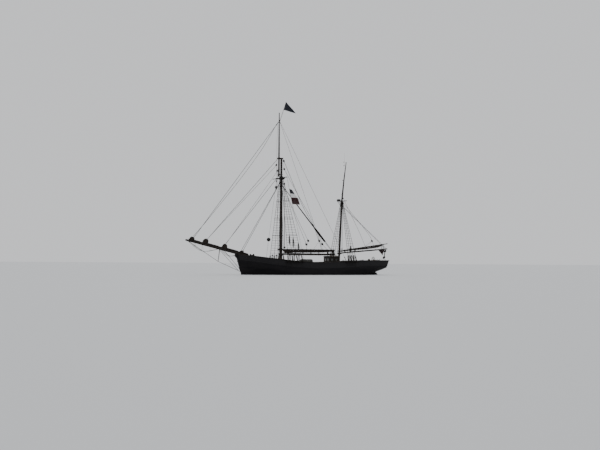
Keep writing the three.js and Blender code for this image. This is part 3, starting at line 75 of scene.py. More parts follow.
UP = Vector((0.0, 0.0, 1.0))
ABEAM = Vector((0.0, 1.0, 0.0))
SIDES = (-1, 1)
HANDS = ((-1, "port"), (1, "starboard"))


def turned(first, second, angle):
    """Two square directions, the first turned by an angle towards the second."""
    near, far = math.cos(angle), math.sin(angle)
    return first * near + second * far, second * near - first * far


def shown(name, data):
    """A new object in the scene."""
    made = bpy.data.objects.new(name, data)
    bpy.context.scene.collection.objects.link(made)
    return made


def add_camera():
    data = bpy.data.cameras.new("camera")
    data.sensor_width = SENSOR
    data.lens = SENSOR * LENS_PIXELS / FRAME_WIDTH
    data.clip_start = 0.5
    data.clip_end = 4000.0
    camera = shown("camera", data)
    ahead = Vector((math.sin(AZIMUTH), math.cos(AZIMUTH), 0.0))
    across = Vector((math.cos(AZIMUTH), -math.sin(AZIMUTH), 0.0))
    right, level = turned(across, ahead, math.atan(ORIGIN_OFFSET / LENS_PIXELS))
    forward, over = turned(level, UP, math.atan(HORIZON_DROP / LENS_PIXELS))
    right, over = turned(right, over, ROLL)
    basis = Matrix((right, over, -forward)).transposed().to_4x4()
    camera.matrix_world = Matrix.Translation(UP * EYE_HEIGHT - ahead * DISTANCE) @ basis
    bpy.context.scene.camera = camera


def add_stage():
    mesh = bpy.data.meshes.new("floor")
    corners = [(x * FLOOR_REACH, y * FLOOR_REACH, 0.0) for x, y in ((-1, -1), (1, -1), (1, 1), (-1, 1))]
    mesh.from_pydata(corners, [], [(0, 1, 2, 3)])
    material = bpy.data.materials.new("floor_pale")
    material.use_nodes = True
    shader = material.node_tree.nodes["Principled BSDF"]
    shader.inputs["Base Color"].default_value = FLOOR_GREY
    shader.inputs["Roughness"].default_value = FLOOR_ROUGHNESS
    mesh.materials.append(material)
    shown("floor", mesh)
    world = bpy.data.worlds.new("soft_sky")
    world.use_nodes = True
    sky = world.node_tree.nodes["Background"]
    sky.inputs["Color"].default_value = SKY_GREY
    sky.inputs["Strength"].default_value = SKY_STRENGTH
    bpy.context.scene.world = world
    for name, turn, height, strength, width in LIGHTS:
        data = bpy.data.lights.new(name, "SUN")
        data.energy = strength
        data.angle = math.radians(width)
        shown(name, data).rotation_euler = (math.radians(90.0 - height), 0.0, math.radians(turn))


add_camera()
add_stage()


# Mesh building
class Shape:
    """Collects faces with their UVs and becomes one object."""

    def __init__(self):
        self.points = []
        self.faces = []
        self.uvs = []

    def add(self, points, faces, uvs=None):
        base = len(self.points)
        self.points.extend(tuple(map(float, p)) for p in points)
        self.faces.extend(tuple(base + k for k in face) for face in faces)
        self.uvs.extend(uvs or [[(0.0, 0.0)] * len(face) for face in faces])
        return self

    def moved(self, matrix):
        self.points = [tuple(matrix @ Vector(p)) for p in self.points]
        return self

    def object(self, name, material, smooth=40.0):
        mesh = bpy.data.meshes.new(name)
        mesh.from_pydata(self.points, [], self.faces)
        layer = mesh.uv_layers.new(name="UVMap")
        layer.data.foreach_set("uv", [value for corner in self.uvs for pair in corner for value in pair])
        mesh.polygons.foreach_set("use_smooth", [True] * len(mesh.polygons))
        mesh.set_sharp_from_angle(angle=math.radians(smooth))
        mesh.materials.append(material)
        mesh.validate()
        return shown(name, mesh)


def merged(shapes):
    whole = Shape()
    for shape in shapes:
        whole.add(shape.points, shape.faces, shape.uvs)
    return whole


def piece(name, shapes, body, material, replaces=(), smooth=40.0):
    """One object from a list of shapes, riding on a body and taking a finish."""
    made = merged(shapes).object(name, material, smooth)
    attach(made, body)
    if replaces:
        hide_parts(*replaces)
    return made


def circle(count, shift=0.0):
    """Cosine and sine of even steps around a circle."""
    angles = [(k + shift) / count * math.tau for k in range(count)]
    return [(math.cos(angle), math.sin(angle)) for angle in angles]


def grid_faces(rows, columns, closed):
    """Faces of a grid of points, its rows closed into rings or left open."""
    faces = []
    for i in range(rows - 1):
        for j in range(columns if closed else columns - 1):
            k = (j + 1) % columns
            faces.append((i * columns + j, i * columns + k, (i + 1) * columns + k, (i + 1) * columns + j))
    return faces


def grid_uvs(along, across):
    """UVs of a grid's faces from the reading at each row and at each column."""
    uvs = []
    for a, b in zip(along, along[1:]):
        for u, v in zip(across, across[1:]):
            uvs.append([(a, u), (a, v), (b, v), (b, u)])
    return uvs


def lids(rows, columns):
    """The two end faces of a stack of rings."""
    last = (rows - 1) * columns
    return [tuple(range(columns - 1, -1, -1)), tuple(range(last, last + columns))]


def swept(points, lengths, sides, caps=True, flip=False):
    """A skin over rings of points, one at each length. Where the last ring is missing, it is the first."""
    faces = grid_faces(len(lengths), sides, True)
    uvs = grid_uvs(lengths, [j / sides for j in range(sides + 1)])
    if caps:
        faces += lids(len(lengths), sides)
        uvs += [[(0.0, 0.0)] * sides] * 2
    if flip:
        faces = [face[::-1] for face in faces]
        uvs = [corners[::-1] for corners in uvs]
    return Shape().add(points, [tuple(k % len(points) for k in face) for face in faces], uvs)


def stood(centre, axis):
    """From a shape's own upright axis to an axis through a centre."""
    return Matrix.Translation(Vector(centre)) @ UP.rotation_difference(Vector(axis)).to_matrix().to_4x4()


def squared(direction, along):
    """A direction made square to another, and the third direction square to both."""
    side = (direction - along * direction.dot(along)).normalized()
    return side, along.cross(side)


def tube(points, radii, sides=12, caps=True):
    """A tube through points, of one radius or one at each. Its UVs run along it in metres and once around."""
    centres = [Vector(p) for p in points]
    radii = [radii] * len(centres) if isinstance(radii, float) else radii
    start = (centres[1] - centres[0]).normalized()
    side = (Vector((1.0, 0.0, 0.0)) if abs(start.z) > 0.9 else UP).cross(start).normalized()
    made, lengths = [], []
    for i, centre in enumerate(centres):
        before, after = centres[max(i - 1, 0)], centres[min(i + 1, len(centres) - 1)]
        side, over = squared(side, (after - before).normalized())
        lengths.append((centre - before).length + (lengths[-1] if lengths else 0.0))
        made += [centre + (side * x + over * y) * radii[i] for x, y in circle(sides, 0.5)]
    return swept(made, lengths, sides, caps, True)


def lathe(profile, centre, axis=UP, sides=24):
    """Turns a profile of (radius, height) about an axis through a point."""
    points = [(max(r, 1e-5) * x, max(r, 1e-5) * y, h) for r, h in profile for x, y in circle(sides)]
    return swept(points, [i * 0.1 for i in range(len(profile))], sides).moved(stood(centre, axis))


def ring(centre, radius, thick, axis=UP, turns=28, sides=8):
    """A round hoop about an axis."""
    points = []
    for x, y in circle(turns):
        for out, rise in circle(sides):
            points.append(((radius + thick * out) * x, (radius + thick * out) * y, thick * rise))
    lengths = [i / turns * math.tau * radius for i in range(turns + 1)]
    return swept(points, lengths, sides, False, True).moved(stood(centre, axis))


def skin(rings):
    """A closed skin through rings of equal count, turned outward by its volume."""
    count = len(rings[0])
    points = [Vector(p) for row in rings for p in row]
    faces = grid_faces(len(rings), count, True) + lids(len(rings), count)
    volume = 0.0
    for first, *rest in faces:
        for b, c in zip(rest, rest[1:]):
            volume += points[first].dot(points[b].cross(points[c]))
    if volume < 0:
        faces = [face[::-1] for face in faces]
    return Shape().add(points, faces, [[(points[k].x, points[k].z) for k in face] for face in faces])


def corner_signs(axis, along, a, b):
    """The signs of a box's corner: along on one axis, a and b on the other two in their order."""
    signs = [a, b]
    signs.insert(axis, along)
    return tuple(signs)


def box(low, high, bevel=0.0):
    """A box between two corners, its edges chamfered."""
    low, high = Vector(low), Vector(high)
    centre, half = (low + high) / 2, (high - low) / 2
    inset = max(0.0, min(bevel, min(half) * 0.9))
    places = {}
    for signs in product(SIDES, repeat=3):
        for axis in range(3 if inset else 1):
            cut = [s * (h - (0.0 if k == axis else inset)) for k, (s, h) in enumerate(zip(signs, half))]
            places[signs, axis] = centre + Vector(cut)
    faces = []
    for axis in range(3):
        for sign in SIDES:
            loop = [corner_signs(axis, sign, a, b) for a, b in ((-1, -1), (1, -1), (1, 1), (-1, 1))]
            faces.append([(signs, axis if inset else 0) for signs in loop])
        u, v = [k for k in range(3) if k != axis]
        for a, b in product(SIDES, repeat=2) if inset else []:
            ends = [corner_signs(axis, end, a, b) for end in SIDES]
            faces.append([(ends[0], u), (ends[1], u), (ends[1], v), (ends[0], v)])
    if inset:
        faces += [[(signs, axis) for axis in range(3)] for signs in product(SIDES, repeat=3)]
    order = list(places)
    looped = []
    for face in faces:
        corners = [places[key] for key in face]
        normal = (corners[1] - corners[0]).cross(corners[2] - corners[0])
        outward = normal.dot(sum(corners, Vector()) / len(corners) - centre) > 0
        looped.append([order.index(key) for key in (face if outward else face[::-1])])
    return Shape().add(places.values(), looped)


def side_box(side, x0, x1, inner, outer, z0, z1, bevel=0.0):
    """A box on one side of the ship, between two distances from the centreline."""
    ends = sorted((side * inner, side * outer))
    return box((x0, ends[0], z0), (x1, ends[1], z1), bevel)


def side_boxes(*rows):
    """The same boxes on both sides of the ship, each row as side_box takes it."""
    return [side_box(side, *row) for side in SIDES for row in rows]


def box_at(centre, reach, bevel=0.0):
    """A box by its centre and how far it reaches along each axis."""
    centre, reach = Vector(centre), Vector(reach)
    return box(centre - reach, centre + reach, bevel)


def smoothed(rows, value):
    """A smooth reading of a table of (x, y) rows, flat beyond its ends."""
    x, y = zip(*rows)
    slope = [(y[i + 1] - y[i]) / (x[i + 1] - x[i]) for i in range(len(x) - 1)]
    tangent = [slope[0]]
    for a, b in zip(slope, slope[1:]):
        tangent.append(0.0 if a * b <= 0 else 2.0 * a * b / (a + b))
    tangent.append(slope[-1])
    value = min(max(value, x[0]), x[-1])
    i = max(k for k in range(len(x) - 1) if x[k] <= value)
    span = x[i + 1] - x[i]
    t = (value - x[i]) / span
    bend = t * t * (3.0 - 2.0 * t)
    enter = t * (1.0 - t) ** 2 * span * tangent[i]
    leave = t * t * (t - 1.0) * span * tangent[i + 1]
    return y[i] + bend * (y[i + 1] - y[i]) + enter + leave


def linear(rows, value):
    """The straight reading between the rows of a table."""
    return float(np.interp(value, *zip(*rows)))


# The ship's lines in metres, as the frame has them: half breadth of the deck's edge at stations
HALVES = [
    (-12.75, 0.15), (-12.2, 0.64), (-11.2, 1.33), (-10.0, 1.93), (-8.2, 2.5), (-5.6, 2.95),
    (-1.5, 3.18), (2.5, 3.15), (6.0, 2.93), (9.0, 2.56), (11.2, 2.18), (12.86, 1.76),
]
# Height of the rail's top at stations, and how far the deck's edge lies below it
RAILS = [
    (-13.0, 3.11), (-11.4, 2.97), (-9.5, 2.73), (-6.0, 2.35), (-3.0, 2.1), (-0.6, 1.99),
    (2.5, 2.04), (6.1, 2.22), (8.7, 2.33), (11.0, 2.365), (13.2, 2.38),
]
DROPS = [
    (-13.0, 0.83), (-11.4, 0.85), (-9.5, 0.88), (-6.0, 0.93), (-3.0, 0.95), (-0.6, 0.95),
    (2.5, 0.93), (6.1, 0.9), (8.7, 0.87), (11.0, 0.86), (13.2, 0.86),
]
BOW_DECK, STERN_DECK = -12.75, 12.86
BOW_RAIL, STERN_RAIL = -12.96, 13.15
WALL = 0.095
CAP = 0.075
CAP_HALF = 0.15
DECK_THICK = 0.0606


def half_at(x):
    return smoothed(HALVES, x)


def rail_at(x):
    return smoothed(RAILS, x)


def edge_at(x):
    return rail_at(x) - smoothed(DROPS, x)


def deck_at(x, y=0.0):
    """Height of the deck's upper side."""
    half = half_at(x)
    crown = 0.09 * half / 3.2
    return edge_at(x) + crown * (1.0 - min(abs(y) / half, 1.0)) + DECK_THICK


def rail_half(u):
    """Half breadth outside the rail, at a share of its length from the bow."""
    x = BOW_DECK + u * (STERN_DECK - BOW_DECK)
    flare = 0.15 * math.exp(-(((x + 11.2) / 2.6) ** 2)) - 0.04 * math.exp(-(((x - 1.0) / 6.5) ** 2))
    return half_at(x) + flare * min(1.0, (x - BOW_DECK) / 0.9)


def rail_half_at(x):
    return rail_half((x - BOW_RAIL) / (STERN_RAIL - BOW_RAIL))


def cap_middle(x):
    return rail_half_at(x) - WALL / 2


def side_at(x, z):
    """Outer face of the bulwark at a height, between the deck edge and the rail."""
    low, high = edge_at(x), rail_at(x) - CAP
    t = (z - low) / (high - low)
    return half_at(x) + (rail_half_at(x) - half_at(x)) * t


# Spars: the rake of the mizzen mast and the flagstaff is how far they lean in each metre of height
MAST_X = -5.6
BOOM_Z = 3.215
GAFF_Z = 3.925
BOWSPRIT_HEEL = (-10.78, 2.762)
BOWSPRIT_END = (-21.34, 5.18)
MIZZEN_HEEL, MIZZEN_RAKE = (4.74, 1.3), 0.053333
FLAGSTAFF_TOP, FLAGSTAFF_RAKE = (-4.86, 27.11), 0.337
MIZZEN_BOOM_LINE = (5.0, 3.475), (14.0, 4.245)
MIZZEN_GAFF_LINE = (5.15, 3.83), (13.95, 5.1)
MIZZEN_TAPER = (1.3, 0.175), (11.8, 0.15)
BOWSPRIT_RADII = [(-21.34, 0.13), (-14.0, 0.19)]
MAIN_RADII = [(1.0, 0.235), (4.5, 0.24), (13.0, 0.215), (15.0, 0.2), (18.1, 0.17)]
TOPMAST_RADII = [(14.4, 0.135), (18.2, 0.13), (22.0, 0.105), (24.6, 0.06)]
BOOM_RADII = [(-5.3, 0.12), (-2.5, 0.15), (0.0, 0.168), (2.5, 0.15), (4.1, 0.115)]
GAFF_RADII = [(-5.3, 0.095), (-2.0, 0.112), (1.0, 0.105), (4.05, 0.072)]
MIZZEN_BOOM_RADII = [(5.11, 0.092), (8.0, 0.115), (11.0, 0.112), (13.9, 0.085)]
MIZZEN_GAFF_RADII = [(5.15, 0.08), (8.5, 0.095), (12.0, 0.085), (13.95, 0.058)]


def straight(value, first, second):
    """A reading on the line through two (x, y) points, also beyond them."""
    return first[1] + (value - first[0]) / (second[0] - first[0]) * (second[1] - first[1])


def mizzen_x(z):
    return MIZZEN_HEEL[0] + (z - MIZZEN_HEEL[1]) * MIZZEN_RAKE


def mizzen_radius(z):
    return straight(z, *MIZZEN_TAPER)


def bowsprit_z(x):
    return straight(x, BOWSPRIT_HEEL, BOWSPRIT_END)


def bowsprit_radius(x):
    return linear(BOWSPRIT_RADII, x)


def mizzen_boom_z(x):
    return straight(x, *MIZZEN_BOOM_LINE)


def flagstaff_x(z):
    return FLAGSTAFF_TOP[0] - (FLAGSTAFF_TOP[1] - z) * FLAGSTAFF_RAKE


def main_gaff_at(x):
    """Centre and radius of the main gaff."""
    return Vector((x, 0.0, GAFF_Z)), linear(GAFF_RADII, x)


def mizzen_gaff_at(x):
    """Centre and radius of the mizzen's gaff."""
    return Vector((x, 0.0, straight(x, *MIZZEN_GAFF_LINE))), linear(MIZZEN_GAFF_RADII, x)


# Shroud gangs: feet, height of the channel, centre and radius of the collar, height of the heads,
# and the coils that hang to port: their shroud, height and drop
MAIN_GANG = {
    "feet": [-5.94, -5.16, -4.34, -3.42],
    "channel": 1.992,
    "centre": -5.6,
    "collar": 0.35,
    "head": 15.2,
    "hung": [(1, 6.0, 1.1), (2, 5.7, 1.3), (3, 4.9, 0.9)],
}
MIZZEN_GANG = {
    "feet": [4.72, 5.2, 5.7, 6.2],
    "channel": 2.01,
    "centre": 5.28933,
    "collar": 0.26,
    "head": 11.6,
    "hung": [(2, 4.6, 0.8)],
}
SHROUDS = range(4)


def gang_foot_y(gang):
    return max(cap_middle(x) + CAP_HALF for x in gang["feet"]) + 0.15


def shroud(gang, side, i):
    """Foot and head of one shroud."""
    around = (i - 1.5) * gang["collar"] / 4.2
    reach = math.sqrt((gang["collar"] - 0.042) ** 2 - around**2)
    foot = Vector((gang["feet"][i], side * gang_foot_y(gang), gang["channel"] - 0.02))
    return foot, Vector((gang["centre"] + around, side * reach, gang["head"]))


def on_shroud(gang, side, i, z):
    foot, head = shroud(gang, side, i)
    return foot.lerp(head, (z - foot.z) / (head.z - foot.z))


# Materials
ANTIFOULING = (0.055, 0.022, 0.019)
BOARD = 0.115
SEAM = 0.006
# The sheer, for the joints of boards: where it is lowest, its rise ten metres off and what the bow adds
SHEER_MIDDLE, SHEER_RISE, BOW_RISE = 0.6, 0.29, 0.18


class Finish:
    """One procedural material, its patterns read in the ship's own metres."""

    def __init__(self, name, rough=0.6, metallic=0.0, gloss=0.25):
        self.material = bpy.data.materials.new(name)
        self.material.use_nodes = True
        self.tree = self.material.node_tree
        self.shader = self.tree.nodes["Principled BSDF"]
        self.place = None
        self.give("Roughness", rough)
        self.give("Metallic", metallic)
        self.give("Specular IOR Level", gloss)

    def node(self, kind, **settings):
        made = self.tree.nodes.new(kind)
        for key, value in settings.items():
            setattr(made, key, value)
        return made

    def link(self, source, target):
        """Fills a socket with a number, a colour or what another node gives."""
        if isinstance(source, (int, float)):
            target.default_value = source
        elif isinstance(source, tuple):
            target.default_value = (*source, 1.0)
        else:
            self.tree.links.new(source, target)

    def give(self, name, value):
        self.link(value, self.shader.inputs[name])
        return self

    def math(self, kind, *values):
        made = self.node("ShaderNodeMath", operation=kind)
        for value, socket in zip((*values, 0.0, 0.0), made.inputs):
            self.link(value, socket)
        return made.outputs[0]

    def split(self, output):
        """The shader coordinates of one kind, whole and apart."""
        source = self.node("ShaderNodeTexCoord").outputs[output]
        parts = self.node("ShaderNodeSeparateXYZ")
        self.link(source, parts.inputs[0])
        return (source, *parts.outputs)

    def axes(self):
        if self.place is None:
            self.place = self.split("Object")
        return self.place

    def uv(self):
        return self.split("UV")[1:3]

    def noise(self, scale, stretch=(1.0, 1.0, 1.0), detail=3.0):
        mapping = self.node("ShaderNodeMapping")
        mapping.inputs["Scale"].default_value = stretch
        self.link(self.axes()[0], mapping.inputs["Vector"])
        made = self.node("ShaderNodeTexNoise")
        made.inputs["Scale"].default_value = scale
        made.inputs["Detail"].default_value = detail
        self.link(mapping.outputs[0], made.inputs["Vector"])
        return made.outputs[0]

    def ramp(self, value, low, high, out_low=0.0, out_high=1.0):
        made = self.node("ShaderNodeMapRange")
        keys = ("Value", "From Min", "From Max", "To Min", "To Max")
        for key, number in zip(keys, (value, low, high, out_low, out_high)):
            self.link(number, made.inputs[key])
        return made.outputs[0]

    def mix(self, share, first, second):
        made = self.node("ShaderNodeMix", data_type="RGBA")
        for value, place in ((share, 0), (first, 6), (second, 7)):
            self.link(value, made.inputs[place])
        return made.outputs[2]

    def bump(self, height, distance):
        """Ends a finish with its relief, and gives back the material."""
        made = self.node("ShaderNodeBump")
        made.inputs["Distance"].default_value = distance
        made.inputs["Strength"].default_value = 1.0
        self.link(height, made.inputs["Height"])
        return self.give("Normal", made.outputs[0]).material

    def seam(self, value, pitch, width):
        """1 in the narrow joints of boards that lie side by side along a value, 0 on the boards."""
        wrapped = self.math("FRACT", self.math("DIVIDE", value, pitch))
        off = self.math("ABSOLUTE", self.math("SUBTRACT", wrapped, 0.5))
        return self.ramp(off, 0.5 - width / pitch, 0.5)

    def grooved(self, relief, depth, seams):
        """A relief at a part of its depth, with seams cut into it."""
        return self.math("SUBTRACT", self.math("MULTIPLY", relief, depth), seams)

    def board_tone(self, value, pitch, run, length):
        """A random tone for each board, cut into lengths along run."""
        row = self.math("FLOOR", self.math("DIVIDE", value, pitch))
        shifted = self.math("ADD", self.math("DIVIDE", run, length), self.math("MULTIPLY", row, 0.37))
        joined = self.node("ShaderNodeCombineXYZ")
        self.link(row, joined.inputs[0])
        self.link(self.math("FLOOR", shifted), joined.inputs[1])
        made = self.node("ShaderNodeTexWhiteNoise", noise_dimensions="3D")
        self.link(joined.outputs[0], made.inputs[0])
        return made.outputs[0]


def mottled(name, rough, patch, detail, tones, low, high, metallic=0.0):
    """A finish whose two tones meet in soft patches, and the patches."""
    finish = Finish(name, rough, metallic)
    patches = finish.noise(patch, detail=detail)
    return finish.give("Base Color", finish.mix(finish.ramp(patches, low, high), *tones)), patches


def sheer_value(finish):
    """Height measured from the curve of the sheer, for boards that follow it."""
    _, x, _, z = finish.axes()
    ahead = finish.math("MULTIPLY", finish.math("SUBTRACT", x, SHEER_MIDDLE), 0.1)
    square = finish.math("MULTIPLY", ahead, ahead)
    bow = finish.math("MAXIMUM", finish.math("MULTIPLY", ahead, -1.0), 0.0)
    rise = finish.math("MULTIPLY", finish.math("MULTIPLY", bow, square), BOW_RISE)
    return finish.math("SUBTRACT", z, finish.math("MULTIPLY_ADD", square, SHEER_RISE, rise))


def hull_finish():
    """Black planked topsides, streaked by rust, over the painted bottom."""
    finish = Finish("hull_black", 0.5, gloss=0.12)
    _, _, _, z = finish.axes()
    seams = finish.seam(sheer_value(finish), 0.17, SEAM)
    grime = finish.noise(1.1, (0.4, 0.4, 1.6), 6.0)
    streaks = finish.noise(2.2, (2.4, 2.4, 0.16), 4.0)
    black = finish.mix(finish.ramp(grime, 0.35, 0.75), (0.006, 0.0055, 0.007), (0.013, 0.012, 0.013))
    rust = finish.math("MULTIPLY", finish.ramp(streaks, 0.62, 0.8), finish.ramp(z, 0.0, 2.2, 0.3, 0.03))
    worn = finish.mix(rust, black, (0.06, 0.036, 0.025))
    finish.give("Base Color", finish.mix(finish.ramp(z, -0.06, -0.03), ANTIFOULING, worn))
    finish.give("Roughness", finish.ramp(grime, 0.3, 0.8, 0.45, 0.7))
    return finish.bump(finish.grooved(finish.noise(3.0, (0.5, 0.5, 3.0), 2.0), 0.25, seams), 0.004)


def bottom_finish():
    finish, _ = mottled("antifouling", 0.85, 1.6, 6.0, (ANTIFOULING, (0.035, 0.02, 0.018)), 0.3, 0.7)
    return finish.bump(finish.noise(40.0), 0.002)


def painted(name, colour, worn, rough=0.5, seam_pitch=0.0):
    """Brushed paint, worn in patches, with the joints of its boards where they have a pitch."""
    finish, wear = mottled(name, rough, 4.0, 6.0, (colour, worn), 0.45, 0.8)
    finish.give("Roughness", finish.ramp(wear, 0.3, 0.8, rough - 0.08, rough + 0.14))
    height = finish.noise(22.0, (0.15, 1.0, 1.0))
    if seam_pitch:
        height = finish.grooved(height, 0.3, finish.seam(sheer_value(finish), seam_pitch, 0.005))
    return finish.bump(height, 0.0025)


def deck_finish():
    finish = Finish("deck_planks", 0.75)
    _, x, y, _ = finish.axes()
    seams = finish.seam(y, BOARD, SEAM)
    grain = finish.noise(16.0, (0.12, 2.2, 1.0), 5.0)
    wood = finish.mix(finish.ramp(grain, 0.3, 0.75), (0.36, 0.29, 0.2), (0.25, 0.2, 0.14))
    fade = finish.ramp(finish.board_tone(y, BOARD, x, 5.2), 0.0, 1.0, 0.0, 0.45)
    toned = finish.mix(fade, wood, (0.42, 0.37, 0.29))
    finish.give("Base Color", finish.mix(seams, toned, (0.02, 0.018, 0.016)))
    return finish.bump(finish.grooved(grain, 0.3, seams), 0.003)


def wood(name, light, dark, rough, stretch=(1.0, 1.0, 0.06), coat=0.0, scale=14.0):
    """Grained wood, its grain drawn out along the axis of least stretch."""
    finish = Finish(name, rough)
    grain = finish.noise(scale, stretch, 6.0)
    bands = finish.noise(scale * 0.22, stretch, 2.0)
    base = finish.mix(finish.ramp(grain, 0.35, 0.7), dark, light)
    finish.give("Base Color", finish.mix(finish.ramp(bands, 0.4, 0.7, 0.0, 0.5), base, dark))
    finish.give("Coat Weight", coat)
    finish.give("Coat Roughness", 0.18)
    finish.give("Roughness", finish.ramp(grain, 0.3, 0.8, rough - 0.06, rough + 0.12))
    return finish.bump(grain, 0.0012)


def metal(name, colour, worn, rough, metallic):
    finish, patch = mottled(name, rough, 9.0, 7.0, (colour, worn), 0.5, 0.78, metallic)
    finish.give("Roughness", finish.ramp(patch, 0.35, 0.8, rough, min(rough + 0.35, 1.0)))
    return finish.bump(finish.noise(60.0), 0.0008)


def rope_finish(name, light, dark, pitch=0.11):
    """Laid rope for pieces whose UVs run along and around it."""
    finish = Finish(name, 0.85)
    along, around = finish.uv()
    turn = finish.math("ADD", finish.math("DIVIDE", along, pitch), around)
    lay = finish.math("FRACT", finish.math("MULTIPLY", turn, 3.0))
    groove = finish.math("ABSOLUTE", finish.math("SUBTRACT", lay, 0.5))
    fuzz = finish.noise(120.0, detail=2.0)
    # The grooves between the strands are painted darker as painted shade; the fuzz is the fibres' own tone.
    shade = finish.math("MULTIPLY_ADD", fuzz, 0.5, finish.math("MULTIPLY", groove, 1.2))
    finish.give("Base Color", finish.mix(finish.ramp(shade, 0.2, 0.85), light, dark))
    return finish.bump(finish.math("MULTIPLY", groove, -1.0), 0.004)


def tarred_finish():
    """Served and tarred standing rigging, wound close around."""
    finish = Finish("tarred_service", 0.85, gloss=0.1)
    fuzz = finish.noise(30.0, detail=4.0)
    shade = finish.mix(finish.ramp(fuzz, 0.35, 0.7), (0.007, 0.006, 0.0055), (0.016, 0.014, 0.012))
    turns = finish.seam(finish.axes()[3], 0.03, 0.008)
    return finish.give("Base Color", shade).bump(finish.math("SUBTRACT", fuzz, turns), 0.002)


def canvas_finish(name, light, dark, seam_pitch=0.0):
    """Stained sailcloth, with stitched seams across its length where they have a pitch."""
    finish = Finish(name, 0.92)
    base = finish.mix(finish.ramp(finish.noise(1.7, detail=7.0), 0.35, 0.7), light, dark)
    height = finish.noise(260.0, detail=1.0)
    if seam_pitch:
        stitched = finish.seam(finish.uv()[0], seam_pitch, 0.012)
        base = finish.mix(finish.math("MULTIPLY", stitched, 0.5), base, dark)
        height = finish.math("MULTIPLY_ADD", stitched, 1.5, height)
    return finish.give("Base Color", base).give("Sheen Weight", 0.15).bump(height, 0.0012)


def shell_painted_shade_finish():
    # The shell is white; its tones are painted near-black as painted shade, mottled in weathered patches. The
    # life rafts and the radar take it.
    tones = ((0.06, 0.06, 0.057), (0.035, 0.034, 0.03))
    finish, _ = mottled("shell_painted_shade_and_weathering", 0.5, 3.0, 6.0, tones, 0.5, 0.85)
    return finish.bump(finish.noise(14.0), 0.0006)


def glass_finish():
    tones = ((0.03, 0.04, 0.045), (0.07, 0.085, 0.09))
    finish, haze = mottled("cabin_glass", 0.08, 5.0, 4.0, tones, 0.3, 0.8)
    finish.give("Coat Weight", 0.8)
    return finish.give("Roughness", finish.ramp(haze, 0.3, 0.9, 0.05, 0.16)).material


def cloth_finish(name, colour, shade):
    finish, _ = mottled(name, 0.9, 2.4, 5.0, (colour, shade), 0.35, 0.75)
    return finish.give("Sheen Weight", 0.2).bump(finish.noise(420.0, detail=1.0), 0.0006)


def stripe_finish(name, first_edge, second_edge, colours):
    """Cloth in three bands that follow its own V direction, from its foot to its head."""
    finish = Finish(name, 0.9)
    across = finish.uv()[1]
    bands = colours[0]
    for edge, colour in zip((first_edge, second_edge), colours[1:]):
        bands = finish.mix(finish.ramp(across, edge - 0.003, edge + 0.003), bands, colour)
    faded = finish.ramp(finish.noise(2.4, detail=5.0), 0.4, 0.9, 0.0, 0.35)
    finish.give("Base Color", finish.mix(faded, bands, (0.2, 0.19, 0.18)))
    return finish.bump(finish.noise(420.0, detail=1.0), 0.0006)


# The spars' oiled wood, its two tones painted near-black: partly the dark oiled wood, partly painted shade.
OILED_AND_PAINTED_SHADE = (0.022, 0.014, 0.01), (0.01, 0.007, 0.006), 0.6
# The sails' tanned cloth, its two tones painted near-black: partly the dark tanned cloth, partly painted shade.
TANNED_AND_PAINTED_SHADE = (0.024, 0.017, 0.014), (0.012, 0.009, 0.008)
HULL = hull_finish()
BOTTOM = bottom_finish()
BULWARK = painted("bulwark_paint", (0.007, 0.0065, 0.008), (0.016, 0.015, 0.015), 0.6, 0.16)
TRIM = painted("trim_brown", (0.017, 0.013, 0.011), (0.04, 0.031, 0.025), 0.6)
CABIN = painted("cabin_paint", (0.012, 0.01, 0.009), (0.028, 0.024, 0.021), 0.6)
ROOF = painted("roof_canvas", (0.014, 0.013, 0.012), (0.032, 0.028, 0.025), 0.75)
DULL_BRONZE = metal("dull_bronze", (0.09, 0.06, 0.03), (0.05, 0.055, 0.04), 0.5, 0.5)
DECK = deck_finish()
SPAR = wood("spar_oiled_painted_shade", *OILED_AND_PAINTED_SHADE, (1.0, 1.0, 0.05), 0.05)
SPAR_LEVEL = wood("spar_level", *OILED_AND_PAINTED_SHADE, (0.05, 1.0, 1.0), 0.05)
SPAR_DARK = painted("spar_black", (0.012, 0.011, 0.01), (0.034, 0.029, 0.025), 0.55)
VARNISHED = (0.07, 0.032, 0.015), (0.032, 0.015, 0.008), 0.4
VARNISH = wood("varnished_wood", *VARNISHED, (0.3, 0.6, 0.6), 0.6, 18.0)
TEAK = wood("bare_teak", (0.28, 0.19, 0.11), (0.17, 0.11, 0.065), 0.7, (0.2, 1.0, 1.0))
IRON = metal("iron_black", (0.02, 0.02, 0.022), (0.075, 0.042, 0.028), 0.45, 0.35)
GALVANISED = metal("iron_grey", (0.2, 0.2, 0.2), (0.13, 0.1, 0.08), 0.5, 0.7)
BRONZE = metal("bronze", (0.35, 0.22, 0.09), (0.11, 0.15, 0.1), 0.32, 0.9)
TARRED = tarred_finish()
# Hemp line, its tones painted near-black: partly the rope's own brown, partly painted shade.
HEMP = rope_finish("hemp_line", (0.036, 0.027, 0.019), (0.013, 0.01, 0.008))
TARRED_LINE = rope_finish("tarred_line", (0.018, 0.015, 0.012), (0.007, 0.006, 0.005))
SAIL = canvas_finish("sail_canvas", *TANNED_AND_PAINTED_SHADE, 0.62)
SAIL_BODY = canvas_finish("sail_canvas_plain", *TANNED_AND_PAINTED_SHADE)
SHELL = shell_painted_shade_finish()
GLASS = glass_finish()
# The pennant's blue, painted nearly black: partly the cloth's own dark blue, partly painted shade.
BLUE_CLOTH = cloth_finish("pennant_cloth", (0.009, 0.011, 0.018), (0.017, 0.019, 0.028))
DARK_CLOTH = cloth_finish("ensign_cloth", (0.024, 0.009, 0.01), (0.015, 0.008, 0.011))
BANDS = ((0.03, 0.008, 0.01), (0.8, 0.8, 0.8), (0.008, 0.009, 0.017))
STRIPES = stripe_finish("striped_cloth", 0.44, 0.7, BANDS)
BALL = painted("ball_black", (0.012, 0.012, 0.012), (0.03, 0.03, 0.03), 0.7)

